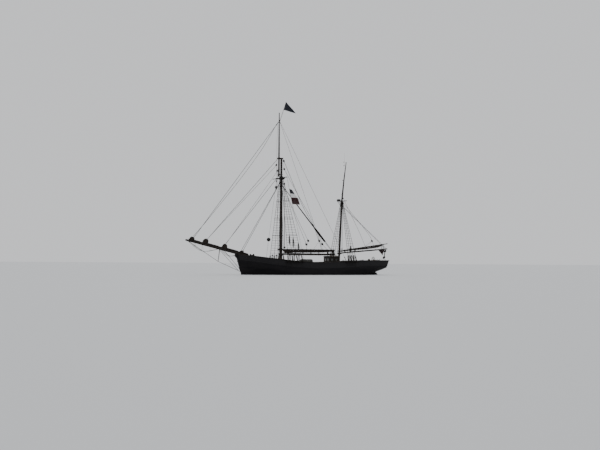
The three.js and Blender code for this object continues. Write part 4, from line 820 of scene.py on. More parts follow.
# The material of every CAD node
DRESS = [
    (HULL, "hull stem rudder"),
    (BOTTOM, "keel"),
    (BULWARK, "bulwark_port bulwark_starboard bulwark_stern"),
    (TRIM, "caprail fore_scuttle cargo_hatch windlass_bitts"),
    (CABIN, "deckhouse skylight"),
    (DECK, "deck"),
    (SPAR, "main_lower_mast main_topmast flagstaff mizzen_mast"),
    (SPAR_LEVEL, "bowsprit main_boom main_gaff mizzen_boom mizzen_gaff"),
    (SPAR_DARK, "main_crosstrees mizzen_crosstrees"),
    (IRON, "dolphin_striker windlass_barrel"),
    (BRONZE, "propeller"),
    (VARNISH, "steering_wheel steering_stand deckhouse_door"),
    (ROOF, "deckhouse_roof"),
    (TEAK, "fore_scuttle_slide skylight_lid_port skylight_lid_starboard"),
    (TARRED, "main_shrouds_port main_shrouds_starboard mizzen_shrouds_port mizzen_shrouds_starboard"),
    (TARRED, "backstay_port backstay_starboard topmast_stay jib_stay inner_jib_stay forestay"),
    (TARRED, "main_topping_lifts mizzen_topping_lifts"),
    (SHELL, "life_rafts radar"),
    (BALL, "anchor_ball"),
    (BLUE_CLOTH, "pennant"),
    (DARK_CLOTH, "ensign"),
    (STRIPES, "flag"),
    (SAIL_BODY, "outer_jib_furled jib_furled inner_jib_furled staysail_furled"),
    (SAIL_BODY, "mainsail_furled mizzen_sail_furled"),
]


def dress_frame():
    for material, names in DRESS:
        for name in names.split():
            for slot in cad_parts[name].material_slots:
                slot.material = material


dress_frame()


# Furled sails: each is one sheet of canvas rolled on itself and lashed by gaskets
CORE = 0.018
FLATNESS = 0.88
ROLL_STEP = 0.07
ROUND_STEPS = 22


class Bundle:
    """The line of a rolled sail: where it runs, how wide it is and how flat, read by its length."""

    def __init__(self, path, radii, flats=None):
        centres = [Vector(p) for p in path]
        lengths = [0.0]
        for before, after in zip(centres, centres[1:]):
            lengths.append(lengths[-1] + (after - before).length)
        self.total = lengths[-1]
        readings = (*zip(*centres), radii, flats or [FLATNESS] * len(path))
        self.tables = [list(zip(lengths, values)) for values in readings]

    def at(self, s):
        """Centre, radius and flatness at a length."""
        x, y, z, radius, flat = (smoothed(table, s) for table in self.tables)
        return Vector((x, y, z)), radius, flat

    def along(self, s):
        return (self.at(min(s + 0.02, self.total))[0] - self.at(max(s - 0.02, 0.0))[0]).normalized()


def rolled(bundle, turns, seed, pinches):
    """A sheet rolled into a bundle as an open spiral, drawn in at the gaskets."""
    chance = random.Random(seed)
    waves = [(chance.uniform(0, math.tau), count, chance.uniform(-1.4, 1.4)) for count in (2, 3, 5, 8)]
    rows = max(8, int(bundle.total / ROLL_STEP))
    rounds = int(turns * ROUND_STEPS)
    lengths = [bundle.total * i / rows for i in range(rows + 1)]
    points = []
    side = ABEAM
    for s in lengths:
        side, over = squared(side, bundle.along(s))
        centre, outer, flat = bundle.at(s)
        loose = min(1.0, min(abs(s - pinch) for pinch in pinches) / 0.22) ** 0.7
        for k in range(rounds + 1):
            share = k / rounds
            angle = share * turns * math.tau
            bulge = 0.0
            for n, (phase, count, drift) in enumerate(waves):
                bulge += math.sin(count * angle + phase + drift * s * 2.2) / (1.6 + n)
            radius = CORE + (outer - CORE) * (0.25 + 0.75 * share)
            radius *= 1.02 - 0.12 * (1.0 - loose) + 0.05 * bulge * (0.25 + 0.75 * loose)
            points.append(centre + side * math.sin(angle) * radius + over * math.cos(angle) * radius * flat)
    uvs = grid_uvs(lengths, [k / ROUND_STEPS for k in range(rounds + 1)])
    return Shape().add(points, grid_faces(rows + 1, rounds + 1, False), uvs)


def gasket(bundle, s, thick, n):
    """One turn of small rope around a rolled sail."""
    along = bundle.along(s)
    side, over = squared(ABEAM, along)
    centre, radius, flat = bundle.at(s)
    loop = []
    for k in range(25):
        angle = k / 24 * math.tau
        lean = along * 0.015 * math.sin(angle + n)
        around = side * math.sin(angle) + over * math.cos(angle) * flat
        loop.append(centre + lean + around * (radius * 0.99 + thick * 0.4))
    return tube(loop, thick, 6, caps=False)


def hitch(low, low_radius, high, high_radius, thick):
    """A lashing that passes over a spar and under the bundle below it."""
    loop = []
    for k in range(33):
        angle = k / 32 * math.tau
        up = math.cos(angle)
        centre, reach, tight = (high, high_radius, 1.0) if up > 0 else (low, low_radius, 0.9)
        width = math.sin(angle) * reach * 1.04
        loop.append(Vector((low.x, centre.y + width, centre.z + up * (reach + thick) * tight)))
    return tube(loop, thick, 6, caps=False)


def lashings(bundle, places, thick, spar):
    """Double gaskets around a rolled sail, and a lashing to its spar where that is given."""
    made = []
    for n, s in enumerate(places):
        for shift in (-0.02, 0.02):
            made.append(gasket(bundle, min(max(s + shift, 0.01), bundle.total - 0.01), thick, n))
        if spar:
            centre, radius, _ = bundle.at(s)
            made.append(hitch(centre, radius, *spar(centre.x), thick))
    return made


def add_rolled(name, bundle, turns, seed, ties, body, replaced, rests, spar=None, thick=0.011):
    """One furled sail with its gaskets, lashed to its spar where that is given."""
    places = [bundle.total * (i + 0.7) / (ties + 0.4) for i in range(ties)]
    shape = rolled(bundle, turns, seed, places)
    cloth = piece(name, [shape], body, SAIL, [replaced], 60.0)
    gaskets = piece(f"{name}_gaskets", lashings(bundle, places, thick, spar), body, HEMP)


def below_gaff(gaff, rows, gap):
    """A bundle that hangs close below a gaff, from rows of place and radius."""
    path = []
    for x, r in rows:
        centre, spar = gaff(x)
        path.append((x, 0.0, centre.z - spar - 0.85 * r - gap))
    return Bundle(path, [r for _, r in rows])


MAINSAIL = [(-5.24, 0.07), (-4.7, 0.185), (-2.5, 0.2), (1.5, 0.175), (2.9, 0.145), (3.82, 0.055)]
BUNT = [(-5.0, 0.0, 3.47), (-4.3, 0.0, 3.455), (-3.5, 0.0, 3.43)], [0.125, 0.11, 0.06]
MIZZEN_SAIL = [
    (5.4, 0.045), (7.2, 0.054), (8.5, 0.11), (10.0, 0.16), (12.0, 0.17), (12.7, 0.106), (13.03, 0.046),
]


def add_boom_sails():
    sail = ("main_boom", "mainsail_furled", "main_gaff", main_gaff_at)
    add_rolled("mainsail_cloth", below_gaff(main_gaff_at, MAINSAIL, 0.004), 8, 3, 12, *sail)
    add_rolled("mainsail_bunt", Bundle(*BUNT), 5, 9, 3, "main_boom", "mainsail_furled", "main_boom")
    sail = ("mizzen_boom", "mizzen_sail_furled", "mizzen_gaff", mizzen_gaff_at)
    add_rolled("mizzen_cloth", below_gaff(mizzen_gaff_at, MIZZEN_SAIL, 0.006), 7, 5, 9, *sail)


# Headsails: name, node, forward and after ends, radius, head's foot, half width and peak
HEADSAILS = [
    ("outer_jib_cloth", "outer_jib_furled", -20.9, -18.86, 0.15, -20.37, 0.38, (-20.29, 5.68)),
    ("jib_cloth", "jib_furled", -18.8, -15.8, 0.165, -18.3, 0.42, (-17.93, 5.35)),
    ("inner_jib_cloth", "inner_jib_furled", -15.74, -12.66, 0.165, -15.13, 0.42, (-14.94, 4.66)),
    ("staysail_cloth", "staysail_furled", -12.6, -11.15, 0.15, -12.24, 0.34, (-12.28, 3.71)),
]
# How full a rolled headsail is along its length
FULLNESS = [(0.0, 0.68), (0.12, 0.98), (0.5, 0.93), (0.85, 0.88), (1.0, 0.66)]


def on_bowsprit(x):
    slope = math.atan2(BOWSPRIT_END[1] - BOWSPRIT_HEEL[1], BOWSPRIT_HEEL[0] - BOWSPRIT_END[0])
    return bowsprit_z(x) + bowsprit_radius(x) / math.cos(slope)


def bowsprit_at(x):
    """Centre and radius of the bowsprit."""
    return Vector((x, 0.0, bowsprit_z(x))), bowsprit_radius(x)


def add_headsails():
    """Each headsail's rolled body along the bowsprit, and its head gathered up against the stay."""
    for k, (name, node, x0, x1, r, foot_x, half, peak) in enumerate(HEADSAILS):
        path = []
        for t, size in FULLNESS:
            x = x0 + t * (x1 - x0)
            path.append((x, 0.0, on_bowsprit(x) + r * size * 0.8 - 0.035 + 0.015 * (1.0 - t)))
        body = Bundle(path, [r * size for _, size in FULLNESS])
        add_rolled(name, body, 6, 11 + k, 5, "ship", node, "bowsprit", bowsprit_at)
        foot = Vector((foot_x, 0.0, on_bowsprit(foot_x) + 0.1))
        head = Vector((peak[0], 0.0, peak[1] - 0.02))
        flats = [half / 0.12, half / 0.135, 2.5]
        gathered = Bundle([foot, (foot + head) / 2, head], [0.14, 0.15, 0.1], flats)
        add_rolled(name.replace("cloth", "head"), gathered, 4, 31 + k, 2, "ship", node, name, thick=0.009)


add_boom_sails()
add_headsails()


# Running rigging: curves, coils and blocks
def through(points, steps=7):
    """A smooth curve through points."""
    marks = [Vector(p) for p in points]
    marks = [marks[0] * 2 - marks[1]] + marks + [marks[-1] * 2 - marks[-2]]
    curve = []
    for a, b, c, d in zip(marks, marks[1:], marks[2:], marks[3:]):
        for k in range(steps):
            t = k / steps
            ahead, bend = (c - a) * t, (a * 2 - b * 5 + c * 4 - d) * t * t
            curve.append((b * 2 + ahead + bend + (b * 3 - a - c * 3 + d) * t**3) / 2)
    return curve + [marks[-2]]


def coil(centre, reach, drop, radius, turns, side):
    """A coil of rope hung on a pin: long loops side by side, lying against one side of the ship."""
    out = ABEAM * side
    across = UP.cross(out)
    made = []
    for n in range(turns):
        shift = out * ((n - (turns - 1) / 2) * radius * 1.8)
        loop = []
        for k in range(25):
            angle = k / 24 * math.tau
            wide = across * reach * (0.8 + 0.08 * n) * math.sin(angle)
            deep = UP * drop * (0.5 + 0.03 * n) * (math.cos(angle) - 1.0)
            loop.append(Vector(centre) + wide + deep + shift)
        made.append(tube(loop, radius, 6, caps=False))
    return made


def rounded(centre, first, second, across, count, profile):
    """A flat block with an oval outline, its faces looking both ways along the third direction."""
    rings = []
    for reach, height in profile:
        rings.append([centre + (first * x + second * y) * reach + across * height for x, y in circle(count)])
    return skin(rings)


def block(centre, along, size, shells=1):
    """A wooden block: an oval shell lying along a direction, as thick as its sheaves need."""
    side, over = squared(ABEAM, along)
    profile = [(0.8, -0.3), (1.0, -0.18), (1.0, 0.18), (0.8, 0.3)]
    flanks = [(reach, size * height * shells) for reach, height in profile]
    return rounded(Vector(centre), along * size * 0.62, over * size * 0.42, side, 20, flanks)


def add_blocks(name, body, rows):
    """Blocks: where each one is, the way its strop points, its size and its number of sheaves."""
    wood, iron = [], []
    for centre, direction, size, shells in rows:
        along = Vector(direction).normalized()
        wood.append(block(centre, along, size, shells))
        iron.append(ring(Vector(centre) + along * size * 0.78, size * 0.16, size * 0.055, ABEAM, 14, 6))
        reach = size * 0.34 * shells
        iron.append(lathe([(size * 0.1, -reach), (size * 0.1, reach)], centre, ABEAM, 10))
    piece(name, wood, body, SPAR_DARK)
    piece(f"{name}_irons", iron, body, IRON)


# Flags: single sheets of cloth that hang from their hoists
PENNANT_TOP, PENNANT_LOW = 27.085, 25.81
FLAG_TOP, FLAG_FOOT = Vector((-5.87, -2.44, 15.02)), Vector((-3.1, -3.06, 2.075))


def on_edge(corners, share):
    """A place on a broken line, at a share of its length."""
    edge = [Vector(c) for c in corners]
    lengths = [0.0]
    for before, after in zip(edge, edge[1:]):
        lengths.append(lengths[-1] + (after - before).length)
    s = lengths[-1] * share
    k = max(n for n in range(len(edge) - 1) if lengths[n] <= s + 1e-9)
    return edge[k].lerp(edge[k + 1], min((s - lengths[k]) / (lengths[k + 1] - lengths[k]), 1.0))


def cloth_between(top, low, corners, across, down, ripple, seed):
    """A sheet from a hoist between two points to the free edge through corners, rippled sideways."""
    chance = random.Random(seed)
    phases = [(chance.uniform(0, math.tau), chance.uniform(0.8, 1.25)) for _ in range(3)]
    points = []
    for i in range(down + 1):
        hoist, fly = low.lerp(top, i / down), on_edge(corners, i / down)
        out = (fly - hoist).cross(top - low).normalized()
        for j in range(across + 1):
            u = j / across
            wave = 0.0
            for n, (phase, rate) in enumerate(phases):
                wave += math.sin(math.tau * (0.9 + n) * u * rate + phase + 2.0 * i / down) / (1.0 + n)
            points.append(hoist.lerp(fly, u) + out * wave * ripple * u**0.7)
    uvs = grid_uvs([i / down for i in range(down + 1)], [j / across for j in range(across + 1)])
    uvs = [[(u, v) for v, u in corner] for corner in uvs]
    return Shape().add(points, grid_faces(down + 1, across + 1, False), uvs)


def add_sheet(name, shape, body, material, replaced):
    """A flag's sheet of cloth as one piece, in place of its CAD node."""
    cloth = piece(name, [shape], body, material, [replaced], 80.0)


def add_pennant():
    top = Vector((flagstaff_x(PENNANT_TOP) + 0.034, 0.0, PENNANT_TOP))
    low = Vector((flagstaff_x(PENNANT_LOW) + 0.036, 0.0, PENNANT_LOW))
    pins = []
    for place, rise in ((top, 1), (low, -1)):
        ends = [place + Vector((-0.03, 0.0, rise * 0.02)), place + Vector((0.02, 0.0, rise * -0.05))]
        pins.append(tube(ends, 0.012, 6))
    toggles = piece("pennant_toggles", pins, "ship", TEAK)
    shape = cloth_between(top, low, [(-3.115, 0.05, 25.41), (-3.13, 0.05, 25.47)], 22, 14, 0.035, 3)
    add_sheet("pennant_cloth", shape, "ship", BLUE_CLOTH, "pennant")


def on_flag_halyard(z):
    place = FLAG_FOOT.lerp(FLAG_TOP, (z - FLAG_FOOT.z) / (FLAG_TOP.z - FLAG_FOOT.z))
    return place + ABEAM * 0.004


def add_striped_flag():
    corners = [(-3.72, -2.72, 10.84), (-3.95, -2.66, 11.7), (-4.6, -2.56, 12.58), (-4.95, -2.53, 13.1)]
    shape = cloth_between(on_flag_halyard(13.27), on_flag_halyard(10.9), corners, 20, 26, 0.05, 8)
    lines = [tube([FLAG_TOP, FLAG_FOOT], 0.009, 6)]
    lines.append(tube([FLAG_TOP + Vector((0.05, 0, 0)), FLAG_FOOT + Vector((0.09, 0, 0))], 0.009, 6))
    lines.append(block(FLAG_TOP + Vector((0.02, 0, -0.07)), UP, 0.09))
    halyard = piece("flag_halyard", lines, "ship", TARRED_LINE, ["flag"])
    add_sheet("striped_flag", shape, "ship", STRIPES, "flag")


def add_ensign():
    head, tail = Vector((12.24, 0.0, 4.0)), Vector((13.38, 0.0, 4.1))
    shape = cloth_between(head, tail, [(13.03, 0.03, 3.18), (13.0, 0.02, 3.2)], 18, 12, 0.03, 5)
    add_sheet("ensign_cloth_sheet", shape, "mizzen_boom", DARK_CLOTH, "ensign")


add_pennant()
add_striped_flag()
add_ensign()


# Shroud gangs
LOW_EYE, HIGH_EYE = 0.21, 0.83
EYE_RADIUS, EYE_THICK = 0.099, 0.118
EYE_PROFILE = [(0.82, 0.5), (1.0, 0.28), (1.0, -0.28), (0.82, -0.5)]
FIRST_RUNG, RUNG_PITCH = 1.38, 0.4
SHEER_POLE = 1.16


def deadeye(centre, along, side):
    """A round wooden block, its flat sides looking outboard."""
    across = ABEAM * side
    up = (along - across * along.dot(across)).normalized()
    flanks = [(reach * EYE_RADIUS, height * EYE_THICK) for reach, height in EYE_PROFILE]
    return rounded(centre, up.cross(across), up, across, 24, flanks)


def shroud_foot(gang, side, i, eyes, lanyards, iron):
    """One shroud's deadeyes with their strops, its lanyard, its seizings and its chain plate."""
    channel = gang["channel"]
    foot, head = shroud(gang, side, i)
    along = (head - foot).normalized()
    out = ABEAM * side
    low = on_shroud(gang, side, i, channel + LOW_EYE)
    high = on_shroud(gang, side, i, channel + HIGH_EYE)
    for centre, turn in ((low, 1), (high, -1)):
        eyes.append(deadeye(centre, along * turn, side))
        iron.append(ring(centre, EYE_RADIUS + 0.004, 0.016, out, 24, 6))
    fore = along.cross(out).normalized()
    for k, face in product((-1, 0, 1), SIDES):
        shift = fore * 0.052 * k + out * face * 0.062
        lanyards.append(tube([low + shift + along * 0.03, high + shift - along * 0.03], 0.021, 7))
    lanyards += [ring(high + along * (0.14 + n * 0.075), 0.034, 0.009, along, 14, 5) for n in range(4)]
    plate_top = Vector((foot.x, side * (gang_foot_y(gang) - 0.02), channel - 0.07))
    low_z = channel - 0.8
    skin_y = side_at(foot.x, max(low_z, edge_at(foot.x))) + 0.012
    plate_low = Vector((foot.x + 0.03, side * skin_y, low_z))
    iron.append(tube([low - along * 0.1, plate_top], 0.02, 8))
    iron.append(tube([plate_top, plate_low], 0.019, 8))
    washer = [(0.0, -0.012), (0.05, -0.012), (0.05, 0.008), (0.03, 0.016), (0.0, 0.016)]
    iron.append(lathe(washer, plate_low, out, 12))


def ratline(gang, side, z):
    """A rung of rope across the shrouds, sagging between them, and its hitches."""
    points = []
    for i in SHROUDS:
        here = on_shroud(gang, side, i, z)
        if points:
            sag = 0.035 * min((here - points[-1]).length, 0.8)
            points.append((points[-1] + here) / 2 - UP * sag)
        points.append(here)
    first, last = (points[1] - points[0]).normalized(), (points[-1] - points[-2]).normalized()
    points[0] = points[0] - first * 0.04
    points[-1] = points[-1] + last * 0.04
    if (points[-1] - points[0]).length <= 0.2:
        return []
    hitches = [ring(on_shroud(gang, side, i, z), 0.034, 0.011, UP, 10, 5) for i in SHROUDS]
    return [tube(points, 0.018, 6)] + hitches


def add_gang(gang, side, tag):
    """Deadeyes, lanyards, ratlines, chain plates and the coils that hang on a gang of shrouds."""
    eyes, lanyards, rungs, iron = [], [], [], []
    for i in SHROUDS:
        shroud_foot(gang, side, i, eyes, lanyards, iron)
    z = gang["channel"] + SHEER_POLE
    for i in SHROUDS[1:]:
        hang = (on_shroud(gang, side, i - 1, z) + on_shroud(gang, side, i, z)) / 2
        lanyards += coil(hang, 0.085, 0.95, 0.017, 5, side)
    for i, z, drop in gang["hung"] if side < 0 else []:
        lanyards += coil(on_shroud(gang, side, i, z) - ABEAM * side * 0.08, 0.07, drop, 0.02, 5, side)
    z = gang["channel"] + FIRST_RUNG
    while z < gang["head"] - 0.55:
        rungs += ratline(gang, side, z)
        z += RUNG_PITCH
    piece(f"{tag}_deadeyes", eyes, "ship", SPAR_DARK)
    piece(f"{tag}_deadeye_irons", iron, "ship", IRON)
    piece(f"{tag}_lanyards", lanyards, "ship", HEMP)
    piece(f"{tag}_ratlines", rungs, "ship", TARRED_LINE)


def add_gangs():
    for side, hand in HANDS:
        add_gang(MAIN_GANG, side, f"main_{hand}")
        add_gang(MIZZEN_GANG, side, f"mizzen_{hand}")


add_gangs()


# Running rigging: each line is its radius and the points it passes through
HALYARD = 0.02

# Halyards of the headsails and gear at the fore side of the main mast
FORE_LINES = [
    (0.026, [(-6.18, 0.0, 23.8), (-6.51, 0.0, 23.39), (-9.2, 0.05, 19.07), (-12.73, 0.06, 14.44),
             (-16.51, 0.05, 9.9), (-18.2, 0.04, 7.9), (-20.16, 0.03, 5.74)]),
    (HALYARD, [(-6.37, 0.16, 17.05), (-12.4, 0.13, 10.95), (-17.86, 0.06, 5.4)]),
    (HALYARD, [(-6.37, -0.16, 16.1), (-10.9, -0.12, 10.0), (-14.88, -0.06, 4.7)]),
    (0.013, [(-6.35, 0.17, 17.0), (-6.05, 0.3, 9.0), (-5.95, 0.36, 2.5)]),
    (0.013, [(-6.35, -0.17, 16.05), (-6.05, -0.3, 9.0), (-5.95, -0.36, 2.5)]),
    (0.013, [(-6.22, 0.1, 23.7), (-6.34, 0.12, 19.0), (-6.0, 0.42, 9.0), (-5.8, 0.44, 2.5)]),
    (0.013, [(-6.46, 0.0, 14.95), (-6.46, 0.0, 14.65)]),
    (0.016, [(-5.2, 0.04, 17.9), (-5.16, -0.05, 16.62)]),
    (0.013, [(-6.48, 0.0, 14.5), (-6.49, 0.0, 13.86)]),
]
FORE_BLOCKS = [
    ((-6.5, 0.0, 23.37), (0.6, 0, 1), 0.2, 1),
    ((-6.4, 0.16, 17.1), (0.3, 0, 1), 0.26, 2),
    ((-6.4, -0.16, 16.16), (0.3, 0, 1), 0.26, 2),
    ((-6.46, 0.0, 14.57), (0, 0, 1), 0.2, 1),
    ((-6.05, 0.12, 15.42), (0, 0, 1), 0.22, 2),
    ((-6.05, -0.12, 15.42), (0, 0, 1), 0.22, 2),
]

# Peak and throat halyards: the parts that hang from a masthead, those on the gaff, and the blocks of each
MAIN_HALYARDS = {
    "mast_lines": [
        (0.03, [(-5.2, 0.05, 17.9), (-1.85, 0.02, 10.95), (0.62, 0.0, 7.0), (1.22, 0.0, 5.36),
                (1.6, 0.0, 4.04)]),
        (0.024, [(-5.16, -0.06, 16.55), (-2.62, -0.03, 12.45), (-0.35, 0.0, 9.0), (1.0, 0.0, 5.6),
                 (1.16, 0.0, 5.36)]),
        (0.015, [(-5.12, 0.05, 14.1), (-4.98, 0.04, 4.36)]),
        (0.015, [(-5.12, -0.05, 14.1), (-4.98, -0.04, 4.36)]),
        (0.015, [(-5.08, 0.0, 14.1), (-4.92, 0.0, 4.36)]),
        (0.022, [(-5.1, 0.08, 13.6), (-3.0, 0.07, 9.4), (-0.77, 0.05, 5.36)]),
        (0.022, [(-5.1, -0.08, 13.5), (-3.2, -0.06, 9.2), (-1.11, -0.03, 4.8)]),
    ],
    "gaff_lines": [
        (0.014, [(1.2, 0.02, 5.3), (0.2, 0.02, 4.04)]),
        (0.014, [(-4.94, 0.0, 4.14), (-4.95, 0.0, 4.0)]),
        (0.022, [(-0.77, 0.05, 5.3), (-0.95, 0.03, 4.7), (-1.12, 0.0, 4.04)]),
        (0.024, [(1.75, 0.0, 4.9), (0.98, 0.0, 6.6)]),
        (0.02, [(1.76, 0.0, 4.8), (2.6, 0.0, 4.03)]),
    ],
    "mast_blocks": [
        ((-5.16, 0.05, 17.78), (-0.3, 0, 1), 0.27, 2),
        ((-5.13, -0.06, 16.5), (-0.3, 0, 1), 0.27, 2),
        ((-5.1, 0.0, 14.2), (0, 0, 1), 0.24, 3),
    ],
    "gaff_blocks": [
        ((-4.95, 0.0, 4.26), (0, 0, -1), 0.24, 3),
        ((1.2, 0.0, 5.36), (-0.3, 0, 1), 0.3, 2),
        ((-0.77, 0.04, 5.36), (-0.4, 0, 1), 0.3, 2),
        ((-1.11, 0.0, 4.77), (-0.4, 0, 1), 0.3, 2),
        ((1.75, 0.0, 4.86), (-0.4, 0, 1), 0.3, 2),
    ],
}
MIZZEN_HALYARDS = {
    "mast_lines": [
        (0.022, [(5.55, 0.02, 12.3), (8.51, 0.0, 7.0), (9.72, 0.0, 4.58)]),
        (0.022, [(5.58, -0.02, 11.5), (10.03, 0.0, 6.95), (10.98, 0.0, 5.51), (11.27, 0.0, 4.78)]),
        (0.013, [(5.5, 0.04, 11.0), (5.36, 0.05, 4.2)]),
        (0.013, [(5.5, -0.04, 11.0), (5.36, -0.05, 4.2)]),
    ],
    "gaff_lines": [(0.02, [(10.98, 0.0, 5.5), (9.74, 0.0, 4.6)])],
    "mast_blocks": [
        ((5.53, 0.02, 12.3), (-0.4, 0, 1), 0.17, 2),
        ((5.56, -0.02, 11.52), (-0.4, 0, 1), 0.17, 2),
        ((5.48, 0.0, 11.06), (-0.2, 0, 1), 0.18, 2),
    ],
    "gaff_blocks": [
        ((5.36, 0.0, 4.12), (0, 0, -1), 0.18, 2),
        ((10.98, 0.0, 5.5), (-0.5, 0, 1), 0.26, 2),
    ],
}


def line_path(points, straight_steps):
    """The curve through a line's points, or even steps along a straight one."""
    if len(points) > 2:
        return through(points)
    ends = [Vector(p) for p in points]
    return [ends[0].lerp(ends[1], k / straight_steps) for k in range(straight_steps + 1)]


def add_lines(name, body, lines):
    """Lines of one piece."""
    shapes = [tube(line_path(points, 1), radius, 7) for radius, points in lines]
    piece(name, shapes, body, TARRED_LINE)


def add_mast_lines(name, lines):
    """Lines that start at a masthead, which stands still, and end on a gaff, which turns about the mast."""
    for n, (radius, points) in enumerate(lines):
        path = line_path(points, 24)
        made = tube(path, radius, 7).object(f"{name}_{n + 1}", TARRED_LINE)
        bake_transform(made)


# Gear below the bowsprit: a second bobstay, one side's foot ropes, and where their stirrups hang and how far
SECOND_BOBSTAY = (0.028, [(-15.95, 0.0, 3.78), (-12.76, 0.0, 0.62)])
FOOT_ROPES = [
    [(-20.95, 0.12, 4.98), (-18.7, 0.3, 3.55), (-16.1, 0.14, 3.86)],
    [(-15.7, 0.14, 3.8), (-14.4, 0.34, 2.86), (-12.95, 0.3, 3.0)],
]
STIRRUPS = [(-19.9, 0.72), (-18.7, 0.9), (-17.4, 0.62)]


def bow_lines():
    lines = [SECOND_BOBSTAY]
    for side in SIDES:
        lines += [(0.022, [(x, y * side, z) for x, y, z in points]) for points in FOOT_ROPES]
        for x, drop in STIRRUPS:
            z = bowsprit_z(x)
            lines.append((0.011, [(x, 0.13 * side, z), (x, 0.27 * side, z - drop)]))
    return lines


def add_running_rigging():
    add_lines("fore_running_lines", "ship", FORE_LINES)
    add_blocks("fore_blocks", "ship", FORE_BLOCKS)
    for mast, rows in (("main", MAIN_HALYARDS), ("mizzen", MIZZEN_HALYARDS)):
        boom = f"{mast}_boom"
        add_mast_lines(f"{mast}_halyard", rows["mast_lines"])
        add_lines(f"{mast}_gaff_lines", boom, rows["gaff_lines"])
        add_blocks(f"{mast}_masthead_blocks", "ship", rows["mast_blocks"])
        add_blocks(f"{mast}_gaff_blocks", boom, rows["gaff_blocks"])
    add_lines("bowsprit_foot_ropes", "ship", bow_lines())


def add_battens():
    """Wooden rungs across the main shrouds, wider apart than the ratlines."""
    for side, hand in HANDS:
        wood, ties = [], []
        for z in (6.12, 8.77, 11.5):
            first, last = on_shroud(MAIN_GANG, side, 0, z), on_shroud(MAIN_GANG, side, 3, z)
            reach = (last - first).normalized() * 0.09
            out = ABEAM * side * 0.045
            wood.append(tube([first - reach + out, last + reach + out], 0.028, 8))
            for i in SHROUDS:
                here = on_shroud(MAIN_GANG, side, i, z) + out * 0.5
                ties.append(ring(here, 0.052, 0.009, (0.9, 0.0, 0.4), 14, 5))
        piece(f"main_{hand}_battens", wood, "ship", SPAR_DARK)
        piece(f"main_{hand}_batten_lashings", ties, "ship", TARRED_LINE)


def add_reflector():
    """A folded metal reflector: three plates crossed in a ball, with a hoop around each."""
    centre, reach = Vector((-6.49, 0.0, 13.6)), 0.23
    shapes = []
    for axis in ((1, 0, 0), (0, 1, 0), (0, 0, 1)):
        shapes.append(lathe([(reach, -0.006), (reach, 0.006)], centre, axis, 8))
        shapes.append(ring(centre, reach, 0.012, axis, 16, 6))
    piece("mast_reflector", shapes, "ship", GALVANISED)


add_running_rigging()
add_battens()
add_reflector()


# Ironwork and lashings of the masts and spars
FORE_AND_AFT = Vector((1.0, 0.0, 0.0))
EYE_PLATE = (0.012, FORE_AND_AFT, 14, 6)
BOWSPRIT_TILT = (bowsprit_at(BOWSPRIT_HEEL[0])[0] - bowsprit_at(BOWSPRIT_END[0])[0]).normalized()
MIZZEN_BOOM_TILT = (1.0, 0.0, 0.085)
MIZZEN_GAFF_TILT = (1.0, 0.0, 0.144)


def band(centre, radius, axis=UP, wide=0.07, thick=0.014):
    """A flat iron hoop driven on to a spar."""
    outer, face = radius + thick, wide / 2 - 0.006
    profile = [(radius, -wide / 2), (outer, -face), (outer, face), (radius, wide / 2)]
    return lathe(profile, centre, axis, 24)


def binding(low, low_radius, high, high_radius, thick, turns, pitch):
    """Turns of small rope around two spars, one above the other."""
    made = []
    for n in range(turns):
        shift = Vector(((n - (turns - 1) / 2) * pitch, 0.0, 0.0))
        made.append(hitch(low + shift, low_radius, high + shift, high_radius, thick))
    return made


def add_mast_irons():
    iron = []
    for z in (5.2, 8.6, 12.4, 13.4, 16.4, 17.4):
        iron.append(band((MAST_X, 0.0, z), linear(MAIN_RADII, z)))
    for z in (19.6, 22.6, 23.75):
        iron.append(band((-6.03, 0.0, z), linear(TOPMAST_RADII, z), wide=0.05))
    for z in (5.6, 8.5, 12.9, 15.2):
        iron.append(band((mizzen_x(z), 0.0, z), mizzen_radius(z), wide=0.06))
    for side, z in product(SIDES, (15.9, 16.9)):
        centre = (MAST_X + 0.02, side * (linear(MAIN_RADII, z) + 0.04), z)
        iron.append(ring(centre, 0.045, *EYE_PLATE))
    piece("mast_bands", iron, "ship", IRON)
    dome = [(0.0, -0.03), (0.075, -0.03), (0.085, 0.0), (0.07, 0.035), (0.035, 0.055), (0.0, 0.06)]
    truck = lathe(dome, (mizzen_x(18.14), 0.0, 18.14))
    piece("mizzen_truck", [truck], "ship", SPAR_DARK)
    x = mizzen_x(17.6)
    whip = tube([(x + 0.1, 0.0, 17.6), (x + 0.14, 0.0, 19.75)], [0.012, 0.005], 6)
    foot = box((x - 0.02, -0.03, 17.52), (x + 0.13, 0.03, 17.64), 0.01)
    piece("mizzen_whip_aerial", [whip, foot], "ship", IRON)


def add_collars(name, gang, x, radius):
    """Served collars of the shrouds over the hounds, and the seizings below them."""
    turns = []
    for n in range(4):
        turns.append(ring((x, 0.0, gang["head"] - 0.02 + n * 0.045), radius + 0.035, 0.024, UP, 30, 7))
    for side, i in product(SIDES, SHROUDS):
        foot, head = shroud(gang, side, i)
        along = (head - foot).normalized()
        turns += [ring(head - along * (0.3 + n * 0.045), 0.036, 0.01, along, 14, 5) for n in range(3)]
    piece(f"{name}_shroud_collars", turns, "ship", TARRED_LINE)


# Where the bowsprit's bands are and how wide
BOWSPRIT_BANDS = [(-21.1, 0.09), (-20.5, 0.06), (-18.62, 0.06), (-15.9, 0.08), (-15.58, 0.06), (-13.2, 0.1)]


